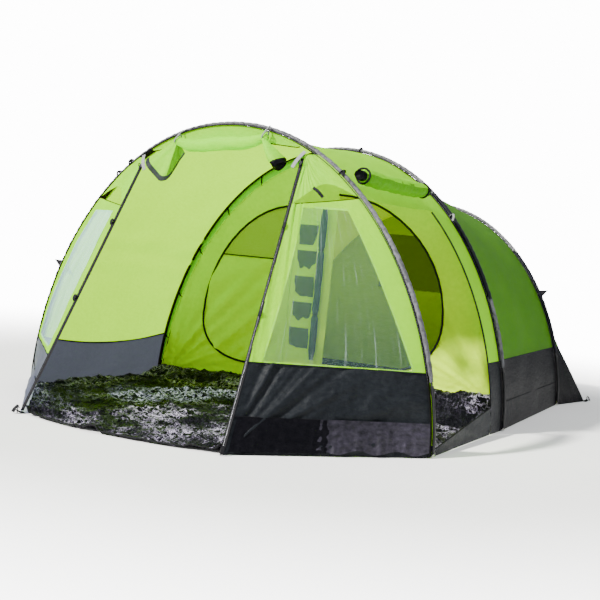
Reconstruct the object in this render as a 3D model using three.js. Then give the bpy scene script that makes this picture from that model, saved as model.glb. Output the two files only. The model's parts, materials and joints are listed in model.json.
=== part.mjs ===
// A tunnel tent on three hoop poles: a bell-ended porch with clear windows, a porch bay with a side
// door, and a bedroom bay with an inner tent hung under the flysheet. Millimetres, +Z up. The doorway
// faces -Y. The origin is on the ground, in the middle of the footprint.
import * as THREE from "three";

// ---- Hoops: half width and height of the pole's centre line, place along the tent, lean back ----
const FRONT = { halfWidth: 1600, height: 1950, y: 0, lean: 0 };
const MIDDLE = { halfWidth: 1530, height: 1960, y: 1440, lean: 0.04 };
const REAR = { halfWidth: 1360, height: 1670, y: 3320, lean: 0.03 };
const HOOPS = { front: FRONT, middle: MIDDLE, rear: REAR };
const SIDE_POWER = 2.04; // how square the hoop's shoulders are, across and up
const TOP_POWER = 1.83;
const HOOP_STEPS = 30;

// ---- Poles and sleeves ----
const BOW_RADIUS = 6.35; // glass-fibre bow
const LEG_RADIUS = 9.5; // steel leg
const LEG_GAP = 4; // between the bow's end and the leg, under the ferrule
const PIN_RADIUS = 3;
const PIN_HEIGHT = 22; // ground to the underside of the leg
const SLEEVE_END = 450; // height above the ground at which the sleeves stop
const BOW_OVERHANG = 24; // height over which the bow shows below its sleeve
const SLEEVE_HALF_WIDTH = 21;
const SLEEVE_HALF_DEPTH = 11.5;
const SLEEVE_WALL = 1.5;
const PART_GAP = 0.4; // clearance between pieces that touch

// ---- Cloth ----
const CLOTH = 2;
const CLOTH_INSET = SLEEVE_HALF_DEPTH + 3.5; // flysheet below the hoop's centre line
const SEAM_GAP = 4; // flysheet panels stop this far short of a hoop's plane
const SEAM_ANGLE = 0.0005; // gap between a wall panel and the roof panel, radians
const ROOF_SAG = 32;
const SHOULDER = 0.93; // hoop angle at which walls meet the roof, radians
const BAY_STEPS = 4;
const BAND_RIGHT = 500; // mud band heights
const BAND_LEFT = 360;

// ---- Bell end ----
const BELL_LENGTH = 1000;
const BELL_HALF_WIDTH = 760;
const BELL_EDGE = -(SLEEVE_HALF_WIDTH + 5); // the bell end's edge, in front of the front sleeve
const GAP_RISE = 105; // rise of the ventilation gap over each front window panel
const BELL = {
  left: { side: -1, zipTopX: 700, band: BAND_LEFT, windowLow: 395, windowTop: 1300, panelTop: [1350, 1400],
    windowInner: [0.16, 0.2], windowOuter: [0.9, 0.8] },
  right: { side: 1, zipTopX: 570, band: BAND_RIGHT, windowLow: 520, windowTop: 1425, panelTop: [1440, 1510],
    windowInner: [0.08, 0.16], windowOuter: [0.87, 0.7] },
};
const ZIP_RADIUS = 4;
const ZIP_CLEARANCE = 4;
const SLIDER = { width: 14, depth: 7, length: 32 };
const SLIDER_STAND_OFF = 9; // slider in front of the zip's centre line
const SLIDER_TOP = 0.06; // parked place, as a share of the zip's height, from the top
const EYEBROW_DEPTH = 95;

// ---- Side doorway of the porch, on the right ----
const SIDE_DOOR_FRONT = 60;
const SIDE_DOOR_REAR = 1180;
const SILL_FRONT = 45;
const SILL_REAR = 190;
const SIDE_ROLL = { radius: 46, angle: 1.0, start: 60, end: 1190 };
const DOOR_ROLL_RADIUS = 44;

// ---- Rear slope ----
const REAR_SLOPE = 560;
const REAR_HALF_WIDTH = 1460;
const REAR_CORNER_ANGLE = 0.45;
const REAR_STEPS = 24;

// ---- Inner tent ----
const INNER_GAP = 75; // inner tent below the flysheet's hoops
const INNER_FOOT_GAP = 30;
const INNER_SET_FORWARD = 40; // inner front wall in front of the middle hoop
const INNER_REAR_SET = 70; // inner rear wall in front of the rear hoop
const INNER_CLOTH = 1.5;
const INNER_FOOT = 128; // underside of the inner tent's side walls
const INNER_LEFT_DOOR = { straight: -330, outer: -1105, top: 1490, low: 212, widest: 560 };
const INNER_RIGHT_DOOR = { straight: 40, outer: 1000, top: 1600, low: 285, widest: 700 };
const DOOR_CLEARANCE = 5;
const MESH_EDGE = 1060; // the inner door is mesh above this height
const REAR_WINDOW = { halfWidth: 430, low: 860, high: 1360 };
const ORGANISER = { x: -192, width: 185, low: 380, high: 1390, depth: 12 };
const INNER_ROLL = { x: -48, radius: 30, low: 300, high: 1500 };
const HANG_GAP = 3;

// ---- Groundsheets, pegs and tabs ----
const SHEET = 2;
const TUB_HEIGHT = 120;
const TUB_INSET = 55;
const LIP_LEFT = 60;
const LIP_RIGHT = 240;
const PEG = { radius: 3.5, height: 34, hook: 16 };
const PEG_STAND_OFF = 22; // peg outside the corner it holds
const TAB = { width: 52, length: 70, depth: 3 };
const FRONT_TAB_HEIGHT = 890;
const REAR_TAB_HEIGHT = 930;

const COLOUR = {
  lime: [0xb9e02f, 0.75, 0],
  green: [0x6fb52a, 0.75, 0],
  inner: [0x9ccc22, 0.8, 0],
  band: [0x2c2e36, 0.6, 0],
  sleeve: [0x8d8f96, 0.45, 0.1],
  black: [0x101012, 0.5, 0],
  sheet: [0x0c0d10, 0.25, 0],
  clear: [0xbfe3e6, 0.1, 0],
  mesh: [0x4c5a26, 0.9, 0],
  steel: [0x3a3b3e, 0.35, 0.8],
  fibre: [0x18181a, 0.4, 0],
};

const tent = new THREE.Group();

// Adds a named piece to the tent.
function add(name, geometry, [hex, roughness, metalness]) {
  const material = new THREE.MeshStandardMaterial({ color: hex, roughness, metalness });
  if (hex === COLOUR.clear[0]) {
    material.transparent = true;
    material.opacity = 0.35;
  }
  const mesh = new THREE.Mesh(geometry, material);
  mesh.name = name;
  tent.add(mesh);
  return mesh;
}

const mix = THREE.MathUtils.lerp;
const steps = (count, from = 0, to = 1) =>
  Array.from({ length: count + 1 }, (_, i) => mix(from, to, i / count));

// ---- Shapes shared by the pieces ----

// The hoop angle, from the right foot, of a point at a height.
function angleAt(hoop, height) {
  return Math.asin((height / hoop.height) ** (TOP_POWER / 2));
}

// A point on a hoop's curve, moved inwards by an inset.
function hoopPoint(hoop, angle, inset = 0) {
  const c = Math.cos(angle);
  const across = Math.sign(c) * Math.abs(c) ** (2 / SIDE_POWER);
  const up = Math.abs(Math.sin(angle)) ** (2 / TOP_POWER);
  const nx = (SIDE_POWER * Math.sign(across) * Math.abs(across) ** (SIDE_POWER - 1)) / hoop.halfWidth;
  const nz = (TOP_POWER * up ** (TOP_POWER - 1)) / hoop.height;
  const length = Math.hypot(nx, nz);
  const x = hoop.halfWidth * across - (inset * nx) / length;
  const z = hoop.height * up - (inset * nz) / length;
  return new THREE.Vector3(x, hoop.y + hoop.lean * z, z);
}

// A hoop's half width at a height.
function halfWidthAt(hoop, height, inset = 0) {
  return hoopPoint(hoop, angleAt(hoop, height), inset).x;
}

// The curve of a hoop between two angles, with one straight step between its points.
function hoopCurve(hoop, from, to, count) {
  const path = new THREE.CurvePath();
  const points = steps(count, from, to).map((angle) => hoopPoint(hoop, angle));
  points.slice(1).forEach((p, i) => path.add(new THREE.LineCurve3(points[i], p)));
  return path;
}

// A smooth curve through points.
function curveThrough(points) {
  return new THREE.CatmullRomCurve3(points.map((p) => new THREE.Vector3(...p)), false, "centripetal");
}

function ellipse(halfWidth, halfDepth, sides) {
  const points = steps(sides, 0, 2 * Math.PI)
    .slice(0, sides)
    .map((a) => new THREE.Vector2(halfDepth * Math.cos(a), halfWidth * Math.sin(a)));
  return points;
}

// A round rod or a rolled cloth along a curve.
function rod(curve, radius, sides, count) {
  const shape = new THREE.Shape(ellipse(radius, radius, sides));
  return new THREE.ExtrudeGeometry(shape, { steps: count, extrudePath: curve });
}

// A mesh of triangles, given as a list of points, turned so that its faces point outwards.
function solidOf(triangles) {
  const volume = triangles.reduce(
    (sum, [a, b, c]) => sum + a.dot(new THREE.Vector3().crossVectors(b, c)), 0);
  const facing = volume < 0 ? triangles.map(([a, b, c]) => [a, c, b]) : triangles;
  return new THREE.BufferGeometry().setFromPoints(facing.flat());
}

// Cloth as a thin solid: a grid of points on its outer face, thickened towards the tent's middle.
// Cells for which isOpen is true are left out, as a window or a doorway.
const TENT_MIDDLE = new THREE.Vector3(0, 1500, 620);
function cloth(grid, thickness = CLOTH, isOpen = () => false) {
  const rows = grid.length - 1;
  const columns = grid[0].length - 1;
  const towardsMiddle = (i, j) => {
    const du = grid[Math.min(i + 1, rows)][j].clone().sub(grid[Math.max(i - 1, 0)][j]);
    const dv = grid[i][Math.min(j + 1, columns)].clone().sub(grid[i][Math.max(j - 1, 0)]);
    const normal = du.cross(dv).normalize();
    const inwards = TENT_MIDDLE.clone().sub(grid[i][j]);
    return normal.multiplyScalar(Math.sign(normal.dot(inwards)) * thickness);
  };
  const inner = grid.map((row, i) => row.map((p, j) => {
    const q = p.clone().add(towardsMiddle(i, j));
    return q.setZ(Math.max(q.z, 0)); // a hem stands on the ground with its whole edge
  }));
  const present = (i, j) => i >= 0 && j >= 0 && i < rows && j < columns && !isOpen(i, j);
  const triangles = [];
  const quad = (a, b, c, d) => triangles.push([a, b, c], [a, c, d]);
  for (let i = 0; i < rows; i += 1) {
    for (let j = 0; j < columns; j += 1) {
      if (!present(i, j)) continue;
      quad(grid[i][j], grid[i + 1][j], grid[i + 1][j + 1], grid[i][j + 1]);
      quad(inner[i][j], inner[i][j + 1], inner[i + 1][j + 1], inner[i + 1][j]);
      const rim = (i0, j0, i1, j1) => quad(grid[i1][j1], grid[i0][j0], inner[i0][j0], inner[i1][j1]);
      if (!present(i, j - 1)) rim(i, j, i + 1, j);
      if (!present(i + 1, j)) rim(i + 1, j, i + 1, j + 1);
      if (!present(i, j + 1)) rim(i + 1, j + 1, i, j + 1);
      if (!present(i - 1, j)) rim(i, j + 1, i, j);
    }
  }
  return solidOf(triangles);
}

// A flat sheet in a hoop's leaning plane: an outline in x and z, set at a distance along the tent.
function leaningSheet(shape, y, lean, thickness) {
  const sheet = new THREE.ExtrudeGeometry(shape, { depth: thickness, bevelEnabled: false });
  sheet.rotateX(Math.PI / 2);
  sheet.translate(0, y, 0);
  const shear = new THREE.Matrix4().makeShear(0, 0, 0, lean, 0, 0);
  shear.elements[1] = 0;
  shear.elements[9] = lean;
  shear.elements[6] = 0;
  return sheet.applyMatrix4(shear);
}

// ---- Poles, sleeves and feet ----
for (const [name, hoop] of Object.entries(HOOPS)) {
  const sleeveAngle = angleAt(hoop, SLEEVE_END);
  const bowAngle = angleAt(hoop, SLEEVE_END - BOW_OVERHANG);
  const legAngle = angleAt(hoop, SLEEVE_END - BOW_OVERHANG - LEG_GAP);
  const footAngle = angleAt(hoop, PIN_HEIGHT);

  const bowCurve = hoopCurve(hoop, sleeveAngle, Math.PI - sleeveAngle, HOOP_STEPS);
  bowCurve.curves.unshift(new THREE.LineCurve3(hoopPoint(hoop, bowAngle), hoopPoint(hoop, sleeveAngle)));
  bowCurve.curves.push(
    new THREE.LineCurve3(hoopPoint(hoop, Math.PI - sleeveAngle), hoopPoint(hoop, Math.PI - bowAngle)));
  add(`${name}_pole_bow`, polyline(bowCurve, ellipse(BOW_RADIUS, BOW_RADIUS, 8)), COLOUR.fibre);

  const sleeveCurve = hoopCurve(hoop, sleeveAngle, Math.PI - sleeveAngle, HOOP_STEPS);
  const outside = ellipse(SLEEVE_HALF_WIDTH, SLEEVE_HALF_DEPTH, 8);
  const inside = ellipse(SLEEVE_HALF_WIDTH - SLEEVE_WALL, SLEEVE_HALF_DEPTH - SLEEVE_WALL, 8);
  add(`${name}_pole_sleeve`, polyline(sleeveCurve, outside, inside), COLOUR.sleeve);

  for (const [sideName, mirror] of [["right", (a) => a], ["left", (a) => Math.PI - a]]) {
    const top = mirror(legAngle);
    const foot = mirror(footAngle);
    add(`${name}_pole_leg_${sideName}`, leg(hoop, top, foot), COLOUR.steel);
  }
}

// A section swept along a curve of straight steps, mitred at each joint; an inside makes it hollow.
function polyline(path, outside, inside) {
  const points = [path.curves[0].v1, ...path.curves.map((line) => line.v2)];
  const sideways = new THREE.Vector3(0, 1, 0);
  const ring = (section, p, i) => {
    const before = points[Math.max(i - 1, 0)];
    const after = points[Math.min(i + 1, points.length - 1)];
    const along = after.clone().sub(before).normalize();
    const outwards = along.clone().cross(sideways).normalize();
    const across = outwards.clone().cross(along);
    return section.map((s) => p.clone().addScaledVector(outwards, s.x).addScaledVector(across, s.y));
  };
  const skin = (section) => points.map((p, i) => ring(section, p, i));
  const triangles = [];
  const quad = (a, b, c, d) => triangles.push([a, b, c], [a, c, d]);
  const wall = (rings, flip) => {
    for (let i = 0; i < rings.length - 1; i += 1) {
      rings[i].forEach((p, k) => {
        const next = (k + 1) % rings[i].length;
        const corners = [p, rings[i][next], rings[i + 1][next], rings[i + 1][k]];
        quad(...(flip ? corners.reverse() : corners));
      });
    }
  };
  const outer = skin(outside);
  wall(outer, false);
  const last = outer.length - 1;
  if (inside) {
    const bore = skin(inside);
    wall(bore, true);
    outer[0].forEach((p, k) => {
      const next = (k + 1) % outer[0].length;
      quad(outer[0][next], p, bore[0][k], bore[0][next]);
      quad(outer[last][k], outer[last][next], bore[last][next], bore[last][k]);
    });
  } else {
    for (let k = 1; k < outside.length - 1; k += 1) {
      triangles.push([outer[0][0], outer[0][k + 1], outer[0][k]]);
      triangles.push([outer[last][0], outer[last][k], outer[last][k + 1]]);
    }
  }
  return solidOf(triangles);
}

// A steel leg with the pin of its foot, which stands on the ground.
function leg(hoop, topAngle, footAngle) {
  const count = 5;
  const points = steps(count, topAngle, footAngle).map((angle) => hoopPoint(hoop, angle));
  const foot = points[count];
  const heights = [...points.map((p) => [p, LEG_RADIUS]), [foot, PIN_RADIUS],
    [new THREE.Vector3(foot.x, hoop.y, 0), PIN_RADIUS]];
  const rings = heights.map(([p, radius]) =>
    ellipse(radius, radius, 8).map((s) => new THREE.Vector3(p.x + s.x, p.y + s.y, p.z)));
  const triangles = [];
  for (let i = 0; i < rings.length - 1; i += 1) {
    rings[i].forEach((p, k) => {
      const next = (k + 1) % 8;
      triangles.push([p, rings[i][next], rings[i + 1][next]], [p, rings[i + 1][next], rings[i + 1][k]]);
    });
  }
  const last = rings.length - 1;
  for (let k = 1; k < 7; k += 1) {
    triangles.push([rings[0][0], rings[0][k + 1], rings[0][k]]);
    triangles.push([rings[last][0], rings[last][k], rings[last][k + 1]]);
  }
  return solidOf(triangles);
}

// ---- Flysheet bays ----

// A point of the cloth between two hoops. It dips towards the middle of the bay.
function bayPoint(a, angleA, b, angleB, along, inset) {
  const dip = inset + ROOF_SAG * 4 * along * (1 - along) * Math.sin(angleA);
  return hoopPoint(a, angleA, dip).lerp(hoopPoint(b, angleB, dip), along);
}

// A panel of a bay. The limits give its lower and upper edge as a hoop angle; alongs are its seams.
function bayPanel(a, b, low, high, count, alongs, inset = CLOTH_INSET, thickness = CLOTH) {
  const grid = alongs.map((along) =>
    steps(count).map((share) =>
      bayPoint(a, mix(low(a), high(a), share), b, mix(low(b), high(b), share), along, inset)));
  return cloth(grid, thickness);
}

const seamToSeam = (a, b) => steps(BAY_STEPS, SEAM_GAP / (b.y - a.y), 1 - SEAM_GAP / (b.y - a.y));
const fromGround = () => 0;
const shoulder = () => SHOULDER - SEAM_ANGLE;
const bandTop = (height) => (hoop) => angleAt(hoop, height - PART_GAP);
const bandEdge = (height) => (hoop) => angleAt(hoop, height + PART_GAP);
const mirrored = (limit) => (hoop) => Math.PI - limit(hoop);
const roofRight = () => SHOULDER + SEAM_ANGLE;
const porch = seamToSeam(FRONT, MIDDLE);
const bedroom = seamToSeam(MIDDLE, REAR);

add("porch_roof", bayPanel(FRONT, MIDDLE, roofRight, mirrored(roofRight), 16, porch), COLOUR.lime);
add("porch_wall_left",
  bayPanel(FRONT, MIDDLE, mirrored(bandEdge(BAND_LEFT)), mirrored(shoulder), 7, porch), COLOUR.lime);
add("porch_mud_band_left",
  bayPanel(FRONT, MIDDLE, mirrored(fromGround), mirrored(bandTop(BAND_LEFT)), 3, porch), COLOUR.band);

add("bedroom_roof", bayPanel(MIDDLE, REAR, roofRight, mirrored(roofRight), 16, bedroom), COLOUR.lime);
for (const [sideName, turn, band] of [["right", (f) => f, BAND_RIGHT], ["left", mirrored, BAND_LEFT]]) {
  add(`bedroom_wall_${sideName}`,
    bayPanel(MIDDLE, REAR, turn(bandEdge(band)), turn(shoulder), 7, bedroom), COLOUR.green);
  add(`bedroom_mud_band_${sideName}`,
    bayPanel(MIDDLE, REAR, turn(fromGround), turn(bandTop(band)), 3, bedroom), COLOUR.band);
}

// ---- Side doorway: fly strips beside it, their zips, the sill and the rolled-up door ----
const bayLength = MIDDLE.y - FRONT.y;
const stripFront = [SEAM_GAP / bayLength, (SIDE_DOOR_FRONT - FRONT.y) / bayLength];
const stripRear = [(SIDE_DOOR_REAR - FRONT.y) / bayLength, 1 - SEAM_GAP / bayLength];
add("side_door_strip_front",
  bayPanel(FRONT, MIDDLE, fromGround, shoulder, 9, stripFront), COLOUR.lime);
add("side_door_strip_rear",
  bayPanel(FRONT, MIDDLE, fromGround, shoulder, 9, steps(2, ...stripRear)), COLOUR.lime);

function sideZip(along) {
  const low = (hoop) => angleAt(hoop, SILL_REAR + 20);
  const points = steps(7).map((share) => {
    const angle = (hoop) => mix(low(hoop), SHOULDER - 0.01, share);
    return bayPoint(FRONT, angle(FRONT), MIDDLE, angle(MIDDLE), along, CLOTH_INSET);
  });
  return rod(curveThrough(points.map((p) => p.toArray())), ZIP_RADIUS, 6, 12);
}
const zipStep = (ZIP_RADIUS + ZIP_CLEARANCE) / bayLength;
add("side_door_zip", sideZip(stripRear[0] - zipStep), COLOUR.black);

const sillSpan = [stripFront[1] + 2 * zipStep, stripRear[0] - 2 * zipStep];
const sillGrid = steps(4, ...sillSpan).map((along) =>
  steps(2).map((share) => {
    const height = share * mix(SILL_FRONT, SILL_REAR, (along - sillSpan[0]) / (sillSpan[1] - sillSpan[0]));
    return bayPoint(FRONT, angleAt(FRONT, height), MIDDLE, angleAt(MIDDLE, height), along, CLOTH_INSET);
  }));
add("side_door_sill", cloth(sillGrid), COLOUR.band);

const rollPoints = steps(4, SIDE_ROLL.start, SIDE_ROLL.end).map((y) =>
  bayPoint(FRONT, SIDE_ROLL.angle, MIDDLE, SIDE_ROLL.angle, (y - FRONT.y) / bayLength,
    CLOTH_INSET - SIDE_ROLL.radius - 2 * CLOTH - ROOF_SAG).toArray());
add("side_door_roll", rod(curveThrough(rollPoints), SIDE_ROLL.radius, 10, 8), COLOUR.lime);

// ---- Bell end: straight zips from the hoop to the front corners, panels out to the hoop's legs ----

const zipTopAngle = (bell) => Math.acos((bell.zipTopX / FRONT.halfWidth) ** (SIDE_POWER / 2));

// The zip's point at a height. It runs from the hoop down to the front corner.
function zipPoint(bell, height) {
  const top = hoopPoint(FRONT, zipTopAngle(bell), CLOTH_INSET);
  const share = 1 - height / top.z;
  return new THREE.Vector3(
    bell.side * mix(top.x, BELL_HALF_WIDTH, share),
    mix(FRONT.y + BELL_EDGE, FRONT.y - BELL_LENGTH, share),
    height,
  );
}
const zipTopHeight = (bell) => hoopPoint(FRONT, zipTopAngle(bell), CLOTH_INSET).z;

// A point of the bell end between the zip, at 0, and the hoop, at 1.
function bellPoint(bell, across, height) {
  const edge = new THREE.Vector3(
    bell.side * halfWidthAt(FRONT, height, CLOTH_INSET), FRONT.y + BELL_EDGE, height);
  return zipPoint(bell, height).lerp(edge, across);
}

function bellGrid(bell, columns, rows) {
  return columns.map((column) =>
    rows.map((row) => {
      const across = column(row(0.5));
      return bellPoint(bell, across, row(across));
    }));
}

for (const [sideName, bell] of Object.entries(BELL)) {
  const fixed = (value) => () => value;
  const between = (list, share) => mix(list[0], list[1], share);
  const rise = (z) => (z - bell.windowLow) / (bell.windowTop - bell.windowLow);
  const windowEdge = (edges, grow) => (z) => between(edges, THREE.MathUtils.clamp(rise(z), 0, 1)) + grow;
  const windowRows = steps(4, bell.windowLow, bell.windowTop).map(fixed);
  const panelTop = (across) => between(bell.panelTop, across);
  const columnsWith = (grow) => [
    windowEdge(bell.windowInner, grow),
    (z) => mix(windowEdge(bell.windowInner, grow)(z), windowEdge(bell.windowOuter, -grow)(z), 0.5),
    windowEdge(bell.windowOuter, -grow),
  ];

  const panel = bellGrid(bell, [fixed(0), ...columnsWith(0), fixed(1)],
    [fixed(bell.band + PART_GAP), ...windowRows, panelTop]);
  const inWindow = (i, j) => (i === 1 || i === 2) && j >= 1 && j <= 4;
  add(`front_panel_${sideName}`, cloth(panel, CLOTH, inWindow), COLOUR.lime);

  const paneRows = [bell.windowLow + PART_GAP, ...steps(4, bell.windowLow, bell.windowTop).slice(1, 4),
    bell.windowTop - PART_GAP].map(fixed);
  const pane = bellGrid(bell, columnsWith(0.003), paneRows);
  add(`front_window_${sideName}`, cloth(pane, 1), COLOUR.clear);

  const band = bellGrid(bell, steps(4).map(fixed), steps(2, 0, bell.band - PART_GAP).map(fixed));
  add(`front_mud_band_${sideName}`, cloth(band), COLOUR.band);

  const gussetTop = zipTopHeight(bell) - 12;
  const gussetLow = (across) => panelTop(across) + PART_GAP * 2 + GAP_RISE * Math.sin(Math.PI * across);
  const gusset = bellGrid(bell, steps(6).map(fixed),
    steps(3).map((share) => (across) => mix(gussetLow(across), gussetTop, share)));
  add(`front_gusset_${sideName}`, cloth(gusset), COLOUR.lime);

  // The zip lies just inside the panel's edge, and its slider rides in front of it.
  const top = zipPoint(bell, zipTopHeight(bell));
  const foot = zipPoint(bell, 0);
  const aside = new THREE.Vector3(-bell.side * (ZIP_RADIUS + ZIP_CLEARANCE), 0, 0);
  const zipLine = [top, foot].map((p) => p.clone().add(aside));
  const down = zipLine[1].clone().sub(zipLine[0]);
  const zipStart = zipLine[0].clone().addScaledVector(down, 0.02);
  const zipEnd = zipLine[1].clone().addScaledVector(down, -0.006);
  add(`front_zip_${sideName}`, rod(new THREE.LineCurve3(zipStart, zipEnd), ZIP_RADIUS, 6, 1), COLOUR.black);

  const slider = add(`front_zip_slider_${sideName}`,
    new THREE.BoxGeometry(SLIDER.width, SLIDER.length, SLIDER.depth), COLOUR.steel);
  const direction = down.clone().normalize();
  const forwards = new THREE.Vector3(0, -1, 0).addScaledVector(direction, direction.y).normalize();
  const across = direction.clone().cross(forwards);
  slider.position.copy(zipLine[0]).addScaledVector(down, SLIDER_TOP);
  slider.position.addScaledVector(forwards, SLIDER_STAND_OFF);
  slider.quaternion.setFromRotationMatrix(new THREE.Matrix4().makeBasis(
    across.negate(), direction.clone().negate(), forwards));
}

// The strip under the top of the front hoop, from which the front door is rolled up.
function eyebrow() {
  const from = zipTopAngle(BELL.right) + 0.02;
  const to = Math.PI - zipTopAngle(BELL.left) - 0.02;
  const grid = steps(10, from, to).map((angle) => {
    const share = (angle - from) / (to - from);
    const depth = 14 + EYEBROW_DEPTH * Math.sin(Math.PI * share) ** 0.7;
    return [0, depth].map((inset) => {
      const p = hoopPoint(FRONT, angle, CLOTH_INSET + inset);
      p.y = FRONT.y + BELL_EDGE;
      return p;
    });
  });
  return cloth(grid);
}
add("front_eyebrow", eyebrow(), COLOUR.lime);

// The front door, rolled up and tied at two places, with its ends hanging down.
const ROLL_ROUTE = [
  [-565, -72, 1590], [-545, -78, 1690], [-470, -76, 1790], [-300, -80, 1812], [-110, -84, 1800],
  [90, -80, 1826], [240, -74, 1832], [330, -78, 1770], [395, -82, 1685],
];
add("front_door_roll",
  rod(curveThrough(ROLL_ROUTE), DOOR_ROLL_RADIUS, 10, 20), COLOUR.lime);

// ---- Rear slope: from the rear hoop down to a straight hem behind it ----
function rearHem(angle) {
  const turn = angle > Math.PI / 2 ? Math.PI - angle : angle;
  const side = angle > Math.PI / 2 ? -1 : 1;
  const corner = new THREE.Vector3(REAR_HALF_WIDTH, REAR.y + REAR_SLOPE, 0);
  const foot = new THREE.Vector3(REAR.halfWidth - CLOTH_INSET, REAR.y + SEAM_GAP, 0);
  const middle = new THREE.Vector3(0, corner.y, 0);
  const share = (turn - REAR_CORNER_ANGLE) / (Math.PI / 2 - REAR_CORNER_ANGLE);
  const hem = turn < REAR_CORNER_ANGLE
    ? foot.lerp(corner, turn / REAR_CORNER_ANGLE)
    : corner.lerp(middle, share);
  return hem.setX(side * hem.x);
}
function rearPoint(angle, share) {
  const top = hoopPoint(REAR, angle, CLOTH_INSET);
  top.y += SEAM_GAP;
  return top.lerp(rearHem(angle), share);
}
const rearBandShare = (angle, height) =>
  Math.max(0, 1 - height / hoopPoint(REAR, angle, CLOTH_INSET).z);
const rearPanelStart = angleAt(REAR, BAND_RIGHT + 40);
const rearPanel = steps(REAR_STEPS, rearPanelStart, Math.PI - rearPanelStart).map((angle) =>
  steps(4).map((share) => rearPoint(angle, share * rearBandShare(angle, BAND_RIGHT + PART_GAP))));
add("rear_panel", cloth(rearPanel), COLOUR.green);
const rearBandStart = angleAt(REAR, 40);
const bandAngles = [
  ...steps(5, rearBandStart, rearPanelStart).slice(0, 5),
  ...steps(REAR_STEPS, rearPanelStart, Math.PI - rearPanelStart),
  ...steps(5, Math.PI - rearPanelStart, Math.PI - rearBandStart).slice(1),
];
const rearBand = bandAngles.map((angle) =>
  steps(2).map((share) => rearPoint(angle, mix(rearBandShare(angle, BAND_RIGHT - PART_GAP), 1, share))));
add("rear_mud_band", cloth(rearBand), COLOUR.band);

// ---- Inner tent ----
const innerInset = (angle) => mix(INNER_FOOT_GAP, INNER_GAP, Math.sqrt(Math.sin(angle))) + CLOTH_INSET;
function innerOutline(hoop, low) {
  const start = angleAt(hoop, low);
  const points = steps(28, start, Math.PI - start).map((angle) => hoopPoint(hoop, angle, innerInset(angle)));
  return points.map((p) => new THREE.Vector2(p.x, p.z));
}

// A D-shaped door: straight on its hinge side, rounded on the other.
function doorOutline(door, shrink = 0) {
  const towards = Math.sign(door.outer - door.straight);
  const straight = door.straight + towards * shrink;
  const outer = door.outer - towards * shrink;
  const top = door.top - shrink;
  const low = door.low + shrink;
  const path = new THREE.Path();
  path.moveTo(straight, low);
  path.lineTo(straight, top);
  path.bezierCurveTo(
    mix(straight, outer, 0.52), top, outer, mix(top, door.widest, 0.45), outer, door.widest);
  path.bezierCurveTo(outer, mix(low, door.widest, 0.3), mix(straight, outer, 0.72), low,
    mix(straight, outer, 0.4), low);
  path.lineTo(straight, low);
  return path.getPoints(10).filter((p, i, all) => i === 0 || p.distanceTo(all[i - 1]) > 1).slice(0, -1);
}

const innerFrontY = MIDDLE.y - INNER_SET_FORWARD;
const frontWall = new THREE.Shape(innerOutline(MIDDLE, 30));
frontWall.holes.push(new THREE.Path(doorOutline(INNER_LEFT_DOOR)));
frontWall.holes.push(new THREE.Path(doorOutline(INNER_RIGHT_DOOR)));
add("inner_front_wall", leaningSheet(frontWall, innerFrontY, MIDDLE.lean, INNER_CLOTH), COLOUR.inner);

// The left inner door is closed: mesh above, cloth below, both on one hinge side.
const doorPoints = doorOutline(INNER_LEFT_DOOR, DOOR_CLEARANCE);
function doorPart(keepAbove) {
  const edge = keepAbove ? MESH_EDGE + PART_GAP : MESH_EDGE - PART_GAP;
  const inside = (p) => (keepAbove ? p.y >= edge : p.y <= edge);
  const kept = [];
  doorPoints.forEach((p, i) => {
    const next = doorPoints[(i + 1) % doorPoints.length];
    if (inside(p)) kept.push(p);
    if (inside(p) !== inside(next)) kept.push(p.clone().lerp(next, (edge - p.y) / (next.y - p.y)));
  });
  return new THREE.Shape(kept);
}
const leftDoorPiece = (keepAbove) =>
  leaningSheet(doorPart(keepAbove), innerFrontY, MIDDLE.lean, INNER_CLOTH);
add("inner_door_left_mesh", leftDoorPiece(true), COLOUR.mesh);
add("inner_door_left_cloth", leftDoorPiece(false), COLOUR.inner);

// The right inner door is open and rolled up against its hinge side.
const innerRollY = innerFrontY - INNER_ROLL.radius - HANG_GAP - INNER_CLOTH;
const rollLine = [INNER_ROLL.low, INNER_ROLL.high].map((z) =>
  new THREE.Vector3(INNER_ROLL.x, innerRollY + MIDDLE.lean * z, z));
add("inner_door_right_roll", rod(new THREE.LineCurve3(...rollLine), INNER_ROLL.radius, 10, 1), COLOUR.mesh);

const organiser = new THREE.Shape([
  [ORGANISER.x - ORGANISER.width / 2, ORGANISER.low], [ORGANISER.x + ORGANISER.width / 2, ORGANISER.low],
  [ORGANISER.x + ORGANISER.width / 2, ORGANISER.high], [ORGANISER.x - ORGANISER.width / 2, ORGANISER.high],
].map((p) => new THREE.Vector2(...p)));
add("organiser", leaningSheet(organiser, innerFrontY - INNER_CLOTH - HANG_GAP, MIDDLE.lean, ORGANISER.depth),
  COLOUR.mesh);

const innerSpan = [
  -(INNER_SET_FORWARD - SEAM_GAP) / (REAR.y - MIDDLE.y),
  1 - (INNER_REAR_SET + SEAM_GAP) / (REAR.y - MIDDLE.y),
];
function innerPanel(low, high, count) {
  const grid = steps(BAY_STEPS, ...innerSpan).map((along) =>
    steps(count).map((share) => {
      const a = mix(low(MIDDLE), high(MIDDLE), share);
      const b = mix(low(REAR), high(REAR), share);
      return hoopPoint(MIDDLE, a, innerInset(a)).lerp(hoopPoint(REAR, b, innerInset(b)), along);
    }));
  return cloth(grid, INNER_CLOTH);
}
const innerFoot = (hoop) => angleAt(hoop, INNER_FOOT);
add("inner_roof", innerPanel(roofRight, mirrored(roofRight), 14), COLOUR.inner);
add("inner_wall_right", innerPanel(innerFoot, shoulder, 6), COLOUR.inner);
add("inner_wall_left", innerPanel(mirrored(innerFoot), mirrored(shoulder), 6), COLOUR.inner);

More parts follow.
